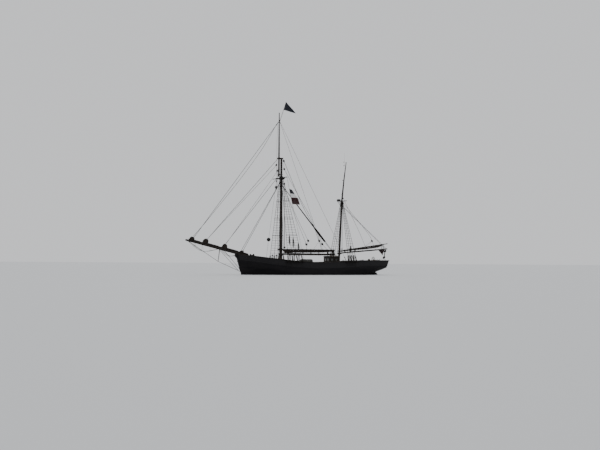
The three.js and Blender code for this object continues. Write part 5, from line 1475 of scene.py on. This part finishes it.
def add_bowsprit_gear():
    """The bowsprit's bands, eyes and end cap, its cheeks and its cleats."""
    iron, wood = [], []
    for x, wide in BOWSPRIT_BANDS:
        centre, radius = bowsprit_at(x)
        iron.append(band(centre, radius + 0.002, BOWSPRIT_TILT, wide, 0.016))
    for side in SIDES:
        centre, radius = bowsprit_at(-21.1)
        iron.append(ring(centre + ABEAM * side * (radius + 0.05), 0.04, *EYE_PLATE))
        centre, radius = bowsprit_at(-20.5)
        cheek = radius - 0.01
        heights = (centre.z - 0.07, centre.z + 0.06)
        wood.append(side_box(side, -20.72, -20.3, cheek, cheek + 0.05, *heights, 0.02))
        for x in (-19.2, -16.9, -14.9, -13.6):
            centre, radius = bowsprit_at(x)
            z = centre.z + radius * 0.35
            reach = (radius * 0.9, radius + 0.03)
            wood.append(side_box(side, x - 0.14, x + 0.14, *reach, z - 0.025, z + 0.025, 0.01))
    cap = [(0.0, 0.0), (0.12, 0.0), (0.125, -0.03), (0.1, -0.06), (0.0, -0.07)]
    iron.append(lathe(cap, bowsprit_at(-21.345)[0], BOWSPRIT_TILT, 20))
    piece("bowsprit_irons", iron, "ship", IRON)
    piece("bowsprit_cleats", wood, "ship", SPAR_DARK)


def main_boom_at(x):
    """Centre and radius of the main boom."""
    return Vector((x, 0.0, BOOM_Z)), linear(BOOM_RADII, x)


def mizzen_boom_at(x, above=0.025):
    """A place on the mizzen's boom and its radius there."""
    return Vector((x, 0.0, mizzen_boom_z(x) + above)), linear(MIZZEN_BOOM_RADII, x)


def add_boom_gear():
    """Bands of the main boom and gaff, the lashings between them, and the coiled falls at the boom's end."""
    iron, ties, wood = [], [], []
    for spar, places, wide in (
        (main_boom_at, (-4.2, -1.4, 1.4, 3.0, 3.98), 0.055),
        (main_gaff_at, (-4.6, -2.2, 0.4, 2.4, 3.86), 0.05),
    ):
        iron += [band(*spar(x), FORE_AND_AFT, wide) for x in places]
    for x in (-4.4, -3.1, -1.75, -0.3, 1.1):
        ties += binding(*main_boom_at(x), *main_gaff_at(x), 0.02, 2, 0.04)
    for x, lean in ((2.5, 0.25), (2.95, -0.2), (3.35, 0.2), (3.8, 0.05)):
        low, low_radius = main_boom_at(x + lean)
        high, high_radius = main_gaff_at(x)
        ties += binding(low, low_radius, high, high_radius, 0.024, 3, 0.045)
        for side in SIDES:
            ends = [low + Vector((0.02, side * 0.1, 0.1)), high + Vector((lean * 1.5, side * 0.06, -0.08))]
            ties.append(tube(ends, 0.018, 6))
    for x in (2.7, 3.15, 3.6):
        ties += coil((x, -0.17, BOOM_Z + 0.3), 0.13, 0.4, 0.014, 4, 1)
    flank = linear(BOOM_RADII, 2.2)
    wood += side_boxes(
        (2.05, 2.45, flank - 0.02, flank + 0.05, BOOM_Z - 0.03, BOOM_Z + 0.03, 0.015),
        (3.3, 4.05, 0.1, 0.15, BOOM_Z - 0.05, BOOM_Z + 0.05, 0.02),
    )
    piece("main_boom_bands", iron, "main_boom", IRON)
    piece("main_boom_lashings", ties, "main_boom", HEMP)
    piece("main_boom_cleats", wood, "main_boom", SPAR_DARK)


def add_mizzen_gear():
    """Bands of the mizzen's boom and gaff, and the lashings between them."""
    iron = [band(*mizzen_boom_at(x), MIZZEN_BOOM_TILT, 0.05) for x in (6.4, 9.2, 11.6, 13.4, 13.84)]
    iron += [band(*mizzen_gaff_at(x), MIZZEN_GAFF_TILT, 0.045) for x in (6.6, 9.74, 11.27, 12.7, 13.9)]
    ties = []
    for x in (5.9, 6.9, 7.8):
        ties += binding(*mizzen_boom_at(x), *mizzen_gaff_at(x), 0.02, 3, 0.036)
    for x in (12.6, 12.95):
        low, radius = mizzen_boom_at(x, 0.04)
        ties += binding(low + FORE_AND_AFT * 0.2, radius, *mizzen_gaff_at(x), 0.013, 2, 0.024)
    piece("mizzen_boom_bands", iron, "mizzen_boom", IRON)
    piece("mizzen_boom_lashings", ties, "mizzen_boom", HEMP)


SHEET_TOP = Vector((13.56, 0.0, 4.1))
SHEET_LOW = Vector((13.0, -0.42, 2.6))
SHEET_PARTS = 4
HORSE_X, HORSE_Z, HORSE_RISE = 12.98, 2.4, 0.16


def add_mizzen_sheet():
    """A block under the mizzen's boom, one on the horse across the stern, and the sheet's parts between."""
    along = (SHEET_LOW - SHEET_TOP).normalized()
    upper, lower = SHEET_TOP + along * 0.26, SHEET_LOW - along * 0.26
    add_blocks("mizzen_sheet_upper_block", "mizzen_boom", [(upper, -along, 0.34, 2)])
    add_blocks("mizzen_sheet_lower_block", "ship", [(lower, along, 0.34, 2)])
    falls = []
    for k in range(SHEET_PARTS):
        offset = ABEAM * (k - (SHEET_PARTS - 1) / 2) * 0.055
        falls.append(tube([upper.lerp(lower, t / 12) + offset for t in range(13)], 0.028, 8))
    made = merged(falls).object("mizzen_sheet_falls", HEMP)
    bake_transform(made)
    arch = [(HORSE_X, k / 10, HORSE_Z + HORSE_RISE * (1.0 - (k / 10) ** 8)) for k in range(-10, 11)]
    piece("sheet_horse", [tube(arch, 0.024, 10)], "ship", IRON)


add_mast_irons()
add_collars("main", MAIN_GANG, MAST_X, linear(MAIN_RADII, 15.2))
add_collars("mizzen", MIZZEN_GANG, mizzen_x(11.6), mizzen_radius(11.6))
add_bowsprit_gear()
add_boom_gear()
add_mizzen_gear()
add_mizzen_sheet()


# Fittings of the hull and the rail
RUN_START, RUN_STEPS = -12.1, 60
HAWSE_X, HAWSE_Z = -11.85, 2.55
FREEING_PORTS = (-8.6, -7.2, -2.0, -0.4, 1.2, 2.8, 7.6, 9.2)
FAIRLEADS = (-11.0, -7.0, 7.2, 10.6)
# Pin rails: fore end, after end and number of pins
PIN_RAILS = [(-5.95, -3.3, 10), (4.55, 6.35, 7)]
PIN = [
    (0.0, -0.2), (0.013, -0.19), (0.015, 0.0), (0.015, 0.03), (0.021, 0.05),
    (0.017, 0.09), (0.024, 0.15), (0.018, 0.18), (0.0, 0.19),
]


def run_along(side, xs, section):
    """A skin along the ship: section gives its corners (distance from the centreline, height) at a place."""
    return skin([[(x, side * y, z) for y, z in section(x)] for x in xs])


def steps(first, last, count):
    return [first + (last - first) * i / count for i in range(count + 1)]


def strake(side, last, height, tall, out):
    """A half-round rubbing strake along the ship's side, its height given as a function of x."""
    shares = ((0.0, -0.5), (0.7, -0.5), (1.0, -0.2), (1.0, 0.2), (0.7, 0.5), (0.0, 0.5))

    def section(x):
        z = height(x)
        inner = side_at(x, max(z, edge_at(x))) - 0.015
        return [(inner + out * reach, z + tall * rise) for reach, rise in shares]

    return run_along(side, steps(RUN_START, last, RUN_STEPS), section)


def add_side_fittings(side, strakes, flaps, iron):
    """One side's strakes, freeing ports with their hinges, hawse pipe and fairleads."""
    strakes.append(strake(side, 12.3, lambda x: edge_at(x) + 0.02, 0.13, 0.065))
    strakes.append(strake(side, 12.6, lambda x: rail_at(x) - CAP - 0.06, 0.07, 0.04))
    for x in FREEING_PORTS:
        z = edge_at(x) + 0.2
        y = side_at(x, z)
        flaps.append(side_box(side, x - 0.2, x + 0.2, y - 0.02, y + 0.016, z - 0.085, z + 0.085, 0.012))
        for at in (x - 0.13, x + 0.13):
            iron.append(side_box(side, at - 0.02, at + 0.02, y - 0.02, y + 0.024, z + 0.03, z + 0.14, 0.006))
    hole = Vector((HAWSE_X, side * (side_at(HAWSE_X, HAWSE_Z) + 0.004), HAWSE_Z))
    out = Vector((-0.35, side * 0.94, 0.0)).normalized()
    iron.append(ring(hole, 0.13, 0.035, out, 24, 8))
    iron.append(ring(hole + out * 0.02, 0.085, 0.03, out, 24, 8))
    for x in FAIRLEADS:
        base = Vector((x, side * cap_middle(x), rail_at(x)))
        iron.append(box_at(base + UP * 0.008, (0.2, 0.05, 0.012), 0.008))
        for dx in (-0.13, 0.13):
            bend = ((dx, 0.01), (dx, 0.07), (dx * 0.35, 0.1))
            horn = [base + Vector((reach, 0.0, rise)) for reach, rise in bend]
            iron.append(tube(through(horn, 4), [0.035] * 5 + [0.03] * 4, 8))


def add_hull_fittings():
    strakes, iron, flaps = [], [], []
    for side in SIDES:
        add_side_fittings(side, strakes, flaps, iron)
    strakes.append(box((-12.945, -0.15, 1.93), (-12.7, 0.15, 2.99), 0.01))
    piece("rubbing_strakes", strakes, "ship", BULWARK)
    piece("freeing_ports", flaps, "ship", BULWARK)
    piece("hull_irons", iron, "ship", IRON)


def add_pin_rails():
    """Rails inside the bulwarks by the shrouds, with belaying pins and the falls coiled on them."""
    rails, pins, coils = [], [], []

    def section(x):
        y, z = cap_middle(x) - 0.22, rail_at(x) - 0.2
        return [(y - 0.07, z - 0.03), (y + 0.12, z - 0.03), (y + 0.12, z + 0.03), (y - 0.07, z + 0.03)]

    for side, (x0, x1, count) in product(SIDES, PIN_RAILS):
        rails.append(run_along(side, steps(x0, x1, 8), section))
        for n in range(count):
            x = x0 + (x1 - x0) * (n + 0.5) / count
            place = Vector((x, side * (cap_middle(x) - 0.24), rail_at(x) - 0.2))
            pins.append(lathe(PIN, place, sides=10))
            coils += coil(place + Vector((0.0, -side * 0.07, 0.09)), 0.085, 0.42, 0.012, 4, side)
            coils.append(ring(place + UP * 0.06, 0.026, 0.011, (0.1, 0.1, 1.0), 12, 6))
    piece("pin_rails", rails, "ship", SPAR_DARK)
    piece("belaying_pins", pins, "ship", TEAK)
    piece("belayed_coils", coils, "ship", HEMP)


# Deckhouse
HOUSE_X0, HOUSE_X1, HOUSE_TOP = 2.55, 4.3, 2.865
WINDOW_Z, WINDOW_HALF = 2.4, 0.18
# The faces along x of a window's pane and of its rim
FORE_WINDOW = ((2.572, 2.582), (2.53, 2.56))
AFTER_WINDOW = ((4.262, 4.272), (4.29, 4.32))
PORT_RADIUS, RIM_RADIUS = 0.19, 0.197
BOLT = [(0.0, -0.008), (0.012, -0.006), (0.012, 0.004), (0.0, 0.006)]
KNOB = [(0.012, 0.0), (0.014, 0.035), (0.032, 0.045), (0.034, 0.06), (0.0, 0.07)]


def window(pane, rim, y0, y1, z0, z1, wide):
    """A pane in a wall that faces along x, and the four bars around it; both by their two faces' x."""
    bars = [
        (y0 - wide, y0, z0 - wide, z1 + wide),
        (y1, y1 + wide, z0 - wide, z1 + wide),
        (y0, y1, z0 - wide, z0),
        (y0, y1, z1, z1 + wide),
    ]
    frames = [box((rim[0], a, c), (rim[1], b, d), 0.005) for a, b, c, d in bars]
    return box((pane[0], y0, z0), (pane[1], y1, z1)), frames


def add_house_ports(glass, rims):
    """The round windows of the deckhouse's sides, with bolted rims."""
    for side, x in product(SIDES, (3.0, 3.85)):
        out = ABEAM * side
        pane = [(PORT_RADIUS, -0.005), (PORT_RADIUS, 0.005)]
        glass.append(lathe(pane, (x, side * 0.93, WINDOW_Z), out, 28))
        rims.append(ring((x, side * 0.952, WINDOW_Z), RIM_RADIUS, 0.018, ABEAM, 32, 8))
        for across, rise in circle(6):
            bolt = (x + RIM_RADIUS * across, side * 0.968, WINDOW_Z + RIM_RADIUS * rise)
            rims.append(lathe(BOLT, bolt, out, 8))


def add_deckhouse():
    glass, rims, rails = [], [], []
    add_house_ports(glass, rims)
    low, high = WINDOW_Z - WINDOW_HALF, WINDOW_Z + WINDOW_HALF
    for faces, y0, y1 in ((FORE_WINDOW, -0.65, -0.19), (FORE_WINDOW, 0.19, 0.65), (AFTER_WINDOW, 0.22, 0.64)):
        light, bars = window(*faces, y0, y1, low, high, 0.035)
        glass.append(light)
        rims += bars
    first, last = HOUSE_X0 + 0.07, HOUSE_X1 - 0.07
    laths = [(HOUSE_X0 + 0.2 + n * 0.23, HOUSE_X0 + 0.23 + n * 0.23) for n in range(7)]
    trim = side_boxes(
        (HOUSE_X0 - 0.02, first, 0.9, 0.968, 1.35, HOUSE_TOP, 0.012),
        (last, HOUSE_X1 + 0.018, 0.9, 0.968, 1.35, HOUSE_TOP, 0.012),
        (first, last, 0.945, 0.966, 1.3, 1.44, 0.008),
        (first, last, 0.945, 0.964, 2.0, 2.06, 0.006),
        *[(x0, x1, 0.945, 0.96, 1.44, 2.0, 0.004) for x0, x1 in laths],
    )
    for side in SIDES:
        rails.append(tube([(x, side * 0.78, 2.985) for x in (2.62, 3.1, 3.6, 4.1, 4.25)], 0.018, 8))
        rails += [box_at((x, side * 0.78, 2.955), (0.03, 0.018, 0.025), 0.006) for x in (2.7, 3.43, 4.16)]
    piece("deckhouse_glass", glass, "ship", GLASS)
    piece("deckhouse_window_rims", rims, "ship", DULL_BRONZE)
    piece("deckhouse_trim", trim, "ship", TRIM)
    piece("deckhouse_hand_rails", rails, "ship", TEAK)


def add_house_door():
    """The door's four panels, its window, strap hinges and knob."""
    panels = []
    for (z0, z1), (y0, y1) in product(((1.5, 1.82), (1.9, 2.22)), ((-0.79, -0.58), (-0.52, -0.31))):
        panels.append(box((4.343, y0, z0), (4.357, y1, z1), 0.006))
    light, bars = window((4.315, 4.325), (4.343, 4.36), -0.71, -0.39, 2.32, 2.61, 0.03)
    brass = [box((4.344, -0.86, z - 0.02), (4.362, -0.5, z + 0.02), 0.005) for z in (1.62, 2.28)]
    brass.append(lathe(KNOB, (4.345, -0.32, 1.86), FORE_AND_AFT, 14))
    piece("deckhouse_door_panels", panels + bars, "deckhouse_door", VARNISH)
    piece("deckhouse_door_brass", brass, "deckhouse_door", BRONZE)
    piece("deckhouse_door_glass", [light], "deckhouse_door", GLASS)


add_hull_fittings()
add_pin_rails()
add_deckhouse()
add_house_door()


# Deck fittings
LID_RUN, LID_RISE = 0.857, 0.515
LID_EDGE = (0.076, 1.832)
SKYLIGHT_MIDDLE = 0.82


def lid_matrix(side):
    """From the lid's own run, slope and height to the ship."""
    columns = ((side, 0.0, 0.0), (0.0, side * LID_RUN, -LID_RISE), (0.0, side * LID_RISE, LID_RUN))
    matrix = Matrix(columns).transposed().to_4x4()
    matrix.translation = Vector((SKYLIGHT_MIDDLE, side * LID_EDGE[0], LID_EDGE[1]))
    return matrix


def add_skylight():
    """Each lid's pane under bars with its hinges, and the skylight's ridge and corner posts."""
    for side, name in HANDS:
        body = f"skylight_lid_{name}"
        bars = []
        for n in range(10):
            x = 0.1 * n - 0.45
            bars.append(tube([(x, 0.06, 0.014), (x, 0.44, 0.014)], 0.007, 8))
        bars += [box((-0.5, s - 0.012, -0.002), (0.5, s + 0.012, 0.012), 0.003) for s in (0.065, 0.435)]
        bars += [box((x - 0.05, -0.002, -0.01), (x + 0.05, 0.05, 0.005), 0.003) for x in (-0.4, 0.4)]
        pane = box((-0.469, 0.091, -0.0118), (0.469, 0.409, -0.006))
        place = lid_matrix(side)
        piece(f"{body}_glass", [pane.moved(place)], body, GLASS)
        piece(f"{body}_bars", [bar.moved(place) for bar in bars], body, DULL_BRONZE)
    trim = side_boxes(
        (0.225, 0.295, 0.41, 0.462, 1.25, 1.53, 0.008),
        (1.345, 1.415, 0.41, 0.462, 1.25, 1.53, 0.008),
        (0.3, 1.34, 0.44, 0.462, 1.27, 1.34, 0.006),
    )
    trim.append(box((0.24, -0.034, 1.868), (1.4, 0.034, 1.884), 0.006))
    piece("skylight_trim", trim, "ship", TRIM)


def add_hatch():
    """The hatch's battens with their irons and wedges, and the lashings over its cover."""
    iron = side_boxes((-4.16, -2.34, 0.846, 0.862, 1.63, 1.69, 0.004))
    wedges, ties = [], []
    for x in (-4.0, -3.7, -3.4, -3.1, -2.8, -2.5):
        foot = (x - 0.04, x + 0.04, 0.846, 0.9, 1.57, 1.6, 0.006)
        horn = (x - 0.04, x + 0.04, 0.885, 0.9, 1.57, 1.72, 0.006)
        iron += side_boxes(foot, horn)
        wedges += side_boxes((x - 0.03, x + 0.07, 0.862, 0.886, 1.62, 1.67, 0.006))
    for x in (-3.85, -3.45, -3.05, -2.65):
        across = (-0.85, -0.6, -0.3, 0.0, 0.3, 0.6, 0.85)
        path = [(x, y, 1.712 + 0.07 * (1.0 - abs(y) / 0.85)) for y in across]
        ties.append(tube([(x, -0.885, 1.6), *path, (x, 0.885, 1.6)], 0.016, 7))
    piece("hatch_irons", iron, "ship", IRON)
    piece("hatch_wedges", wedges, "ship", TEAK)
    piece("hatch_lashings", ties, "ship", HEMP)


RAFT_X0, RAFT_LENGTH, RAFT_Y, RAFT_Z, RAFT_RADIUS = -1.954, 1.658, 0.43, 2.11, 0.339
RAFT_END = [(0.0, 0.0), (0.26, 0.0), (0.31, 0.03), (0.328, 0.06), (RAFT_RADIUS, 0.11)]
RAFT_RIB = [(0.0, -0.035), (0.012, -0.02), (0.012, 0.02), (0.0, 0.035)]


def add_rafts():
    """The canisters' ribbed shells with their strips, the bands around them, and their cradles' irons."""
    shells, straps, irons = [], [], []
    half = RAFT_END + [(RAFT_RADIUS + out, at + along) for at in (0.3, 0.5, 0.7) for out, along in RAFT_RIB]
    profile = half + [(radius, RAFT_LENGTH - reach) for radius, reach in reversed(half)]
    for side in SIDES:
        start = Vector((RAFT_X0, side * RAFT_Y, RAFT_Z))
        middle = start + FORE_AND_AFT * RAFT_LENGTH / 2
        shells.append(lathe(profile, start, FORE_AND_AFT, 40))
        for turn in SIDES:
            strip = middle + ABEAM * turn * (RAFT_RADIUS + 0.004)
            shells.append(box_at(strip, (RAFT_LENGTH / 2 - 0.08, 0.016, 0.018), 0.008))
        for at in (0.2, 0.4, RAFT_LENGTH - 0.4, RAFT_LENGTH - 0.2):
            here = start + FORE_AND_AFT * at
            straps.append(band(here, RAFT_RADIUS + 0.001, FORE_AND_AFT, 0.05, 0.007))
            irons.append(box_at(here + UP * (RAFT_RADIUS + 0.01), (0.035, 0.03, 0.01), 0.005))
        for x in (-1.6, -0.65):
            irons.append(box_at((x, start.y, RAFT_Z - 0.225), (0.075, 0.28, 0.025), 0.01))
            for turn in SIDES:
                low = Vector((x, start.y + turn * 0.3, 1.66))
                straps.append(tube([low, low + Vector((0.0, turn * 0.05, 0.42))], 0.014, 6))
    # The shells take the white canisters' colour painted near-black as painted shade.
    piece("raft_shells", shells, "ship", SHELL, smooth=30.0)
    piece("raft_straps", straps, "ship", TARRED_LINE)
    piece("raft_irons", irons, "ship", IRON)


WINDLASS = Vector((-10.53, 0.0, 2.68))
BARREL_CAP = [(0.1, 0.0), (0.1, 0.012), (0.05, 0.02), (0.045, 0.035), (0.0, 0.04)]


def around_barrel(angle):
    return Matrix.Translation(WINDLASS) @ Matrix.Rotation(angle, 4, "Y")


def add_windlass():
    """The barrel's bands, pawl rack and whelps, the turns of rope on its ends, and its caps."""
    iron = [band(WINDLASS + ABEAM * y, 0.149, ABEAM, 0.05, 0.012) for y in (-0.42, -0.24, 0.24, 0.42)]
    turns = []
    for n in range(24):
        tooth = box((-0.01, -0.05, 0.14), (0.018, 0.05, 0.182), 0.004)
        iron.append(tooth.moved(around_barrel(n / 24 * math.tau)))
    for n, y in product(range(12), (-0.33, 0.33)):
        whelp = box((-0.018, y - 0.05, 0.14), (0.018, y + 0.05, 0.162), 0.006)
        iron.append(whelp.moved(around_barrel((n + 0.5) / 12 * math.tau)))
    for side in SIDES:
        for n in range(4):
            centre = WINDLASS + ABEAM * side * (0.7 + n * 0.036)
            turns.append(ring(centre, 0.162, 0.017, (0.04, 1, 0.03), 30, 7))
        iron.append(lathe(BARREL_CAP, WINDLASS + ABEAM * side * 0.903, ABEAM * side, 20))
    piece("windlass_irons", iron, "windlass", IRON)
    piece("windlass_rope_turns", turns, "windlass", HEMP)


def add_scuttle():
    """The slide's planks and handle, and the trim of the scuttle's sides and doors."""
    starts = (-0.43, -0.285, -0.14, 0.01, 0.155, 0.3)
    planks = [box((-8.85, y, 2.683), (-8.335, y + 0.13, 2.693), 0.004) for y in starts]
    piece("scuttle_slide_planks", planks, "scuttle_slide", TEAK)
    arch = [(-8.42, y, z) for y, z in ((-0.14, 2.69), (-0.12, 2.735), (0.12, 2.735), (0.14, 2.69))]
    handle = tube(through(arch, 5), 0.011, 8)
    piece("scuttle_slide_handle", [handle], "scuttle_slide", DULL_BRONZE)
    trim = side_boxes(
        (-9.31, -8.34, 0.41, 0.432, 1.92, 2.0, 0.006),
        (-9.32, -9.26, 0.4, 0.434, 2.0, 2.58, 0.008),
        (-8.41, -8.35, 0.4, 0.434, 2.0, 2.58, 0.008),
        (-8.352, -8.335, 0.02, 0.33, 1.98, 2.52, 0.006),
        (-8.337, -8.328, 0.06, 0.29, 2.05, 2.24, 0.004),
        (-8.337, -8.328, 0.06, 0.29, 2.3, 2.46, 0.004),
    )
    piece("scuttle_trim", trim, "ship", TRIM)


WHEEL = Vector((11.24, 0.0, 2.38))
WHEEL_CAP = [(0.075, 0.0), (0.075, 0.012), (0.05, 0.022), (0.03, 0.04), (0.0, 0.045)]
GRIP = [
    (0.024, 0.0), (0.03, 0.012), (0.022, 0.024), (0.028, 0.05), (0.029, 0.075), (0.021, 0.1), (0.0, 0.107),
]


def add_wheel():
    """The rim's brass bands and cap, and the turned grips and collars of the spokes."""
    brass = []
    for shift in (-0.031, 0.031):
        brass.append(ring(WHEEL + FORE_AND_AFT * shift, 0.47, 0.007, FORE_AND_AFT, 48, 6))
    brass.append(lathe(WHEEL_CAP, (11.161, 0.0, WHEEL.z), -FORE_AND_AFT, 24))
    grips = []
    for up, across in circle(8):
        out = Vector((0.0, across, up))
        grips.append(lathe(GRIP, WHEEL + out * 0.5, out, 12))
        grips += [ring(WHEEL + out * reach, 0.024, 0.007, out, 14, 6) for reach in (0.14, 0.4)]
    for rise in (0.525, 0.537, 0.549):
        grips.append(ring(WHEEL + UP * rise, 0.03, 0.007, UP, 16, 6))
    piece("wheel_brass", brass, "steering_wheel", DULL_BRONZE)
    piece("wheel_grips", grips, "steering_wheel", TEAK)


COMPASS = Vector((10.42, 0.0, 2.495))
DOME = [(0.158, 0.0), (0.15, 0.035), (0.115, 0.075), (0.06, 0.1), (0.0, 0.108)]
ORB = [(0.07 * math.sin(k / 10 * math.pi), -0.07 * math.cos(k / 10 * math.pi)) for k in range(11)]


def add_compass():
    """The dome of the compass, its ring, and the iron balls on their brackets."""
    brass = [ring(COMPASS, 0.165, 0.012, UP, 32, 8)]
    for side in SIDES:
        brass.append(box_at((10.42, side * 0.2, 2.38), (0.02, 0.035, 0.01), 0.004))
        brass.append(lathe(ORB, (10.42, side * 0.26, 2.41), UP, 20))
    piece("compass_dome", [lathe(DOME, COMPASS + UP * 0.002, UP, 28)], "ship", GLASS)
    piece("compass_brass", brass, "ship", DULL_BRONZE)


def add_steering_gear():
    """The gear box's panelled sides and lid, and the grating the helmsman's place stands on."""
    trim = [box((11.445, -0.36, 2.436), (12.3, 0.36, 2.458), 0.01)]
    for x0, x1 in ((11.45, 11.82), (11.88, 12.25)):
        trim += side_boxes(*[(x, x + 0.05, 0.33, 0.352, 1.82, 2.4, 0.006) for x in (x0, x1 - 0.05)])
        trim += side_boxes(*[(x0 + 0.05, x1 - 0.05, 0.33, 0.352, z, z + 0.06, 0.006) for z in (1.82, 2.34)])
    slats = side_boxes((10.18, 12.33, 0.58, 0.628, 1.69, 1.762, 0.006))
    for n in range(23):
        x = 10.2 + n * 0.092
        slats.append(box((x, -0.58, 1.742), (x + 0.035, 0.58, 1.758), 0.004))
    for n in range(-3, 4):
        slats.append(box((10.2, n * 0.15 - 0.015, 1.742), (12.31, n * 0.15 + 0.015, 1.752), 0.004))
    piece("gear_box_trim", trim, "ship", TRIM)
    piece("helm_grating", slats, "ship", TEAK)


# The rudder's axis: its foot (x, z) and how far it leans aft in each metre of height
RUDDER_FOOT, RUDDER_RAKE = (11.078, -2.6), 0.106452


def add_rudder_straps():
    iron = []
    for side, z in product(SIDES, (-2.15, -1.3, -0.45, 0.3)):
        axis = RUDDER_FOOT[0] + (z - RUDDER_FOOT[1]) * RUDDER_RAKE
        iron.append(side_box(side, axis + 0.02, axis + 0.6, 0.045, 0.066, z - 0.04, z + 0.04, 0.006))
        for reach in (0.14, 0.32, 0.5):
            bolt = (axis + reach, side * 0.066, z)
            iron.append(lathe([(0.018, 0.0), (0.016, 0.008), (0.0, 0.011)], bolt, ABEAM * side, 10))
    piece("rudder_straps", iron, "rudder", IRON)


FIRST_TIMBER, TIMBER_PITCH, TIMBERS = -11.6, 0.84, 29
WATERWAY_END = 12.3


def timber_head(side, x):
    """A timber that stands inside the bulwark, from the deck to the rail."""
    rings = []
    for z in (deck_at(x, half_at(x)) + 0.005, rail_at(x) - CAP):
        y = side_at(x, z) - WALL
        corners = ((x - 0.05, y + 0.03), (x - 0.05, y - 0.07), (x + 0.05, y - 0.07), (x + 0.05, y + 0.03))
        rings.append([(px, side * py, z) for px, py in corners])
    return skin(rings)


def waterway(x):
    """Section of the waterway at the bulwark's foot."""
    y, z = half_at(x) - WALL, deck_at(x, half_at(x))
    return [(y + 0.02, z - 0.03), (y - 0.2, z - 0.03), (y - 0.2, z + 0.012), (y + 0.02, z + 0.04)]


def add_bulwark_frames():
    places = [FIRST_TIMBER + n * TIMBER_PITCH for n in range(TIMBERS)]
    heads = [timber_head(side, x) for side, x in product(SIDES, places)]
    ways = [run_along(side, steps(RUN_START, WATERWAY_END, RUN_STEPS), waterway) for side in SIDES]
    piece("bulwark_timber_heads", heads, "ship", BULWARK)
    piece("waterways", ways, "ship", TRIM)


POST = [(0.075, 0.0), (0.06, 0.03), (0.055, 0.3), (0.085, 0.33), (0.085, 0.37), (0.05, 0.395), (0.0, 0.4)]
# Where the pairs of posts stand: x and the distance from the centreline
POST_PAIRS = [(-9.75, 1.2), (10.75, 1.45)]


def add_mooring_posts():
    posts = []
    for (x, y), side in product(POST_PAIRS, SIDES):
        base = Vector((x, side * y, deck_at(x, y)))
        posts.append(box_at(base + UP * 0.01, (0.3, 0.09, 0.02), 0.01))
        posts += [lathe(POST, base + Vector((dx, 0.0, 0.02)), sides=20) for dx in (-0.18, 0.18)]
    piece("mooring_posts", posts, "ship", IRON)


# Warps coiled down on deck: x, y and number of turns
WARPS = [(9.95, -1.75, 5), (-9.0, 1.35, 5), (5.9, 2.15, 4)]


def add_deck_gear():
    """The rail around the mainmast's foot with its pins, and warps coiled down on deck."""
    pins, coils = [], []
    wood = side_boxes((-6.08, -5.16, 0.49, 0.62, 2.35, 2.42, 0.014))
    for x in (-5.97, -5.27):
        wood += side_boxes((x - 0.055, x + 0.055, 0.5, 0.61, deck_at(x, 0.55), 2.36, 0.012))
    for side, n in product(SIDES, range(5)):
        place = Vector((-5.95 + n * 0.165, side * 0.555, 2.385))
        pins.append(lathe(PIN, place, sides=10))
        coils += coil(place + Vector((0.0, side * 0.08, 0.08)), 0.08, 0.46, 0.013, 4, side)
    for x, y, turns in WARPS:
        for n in range(turns):
            centre = (x, y, deck_at(x, y) + 0.03 + 0.045 * n)
            tilt = (0.03 * math.sin(n), 0.03 * math.cos(n), 1.0)
            coils.append(ring(centre, 0.34 - 0.03 * (n % 3), 0.026, tilt, 36, 8))
    piece("mast_foot_rail", wood, "ship", SPAR_DARK)
    piece("mast_foot_pins", pins, "ship", TEAK)
    piece("deck_coils", coils, "ship", HEMP)


add_skylight()
add_hatch()
add_rafts()
add_windlass()
add_scuttle()
add_wheel()
add_compass()
add_steering_gear()
add_rudder_straps()
add_bulwark_frames()
add_mooring_posts()
add_deck_gear()
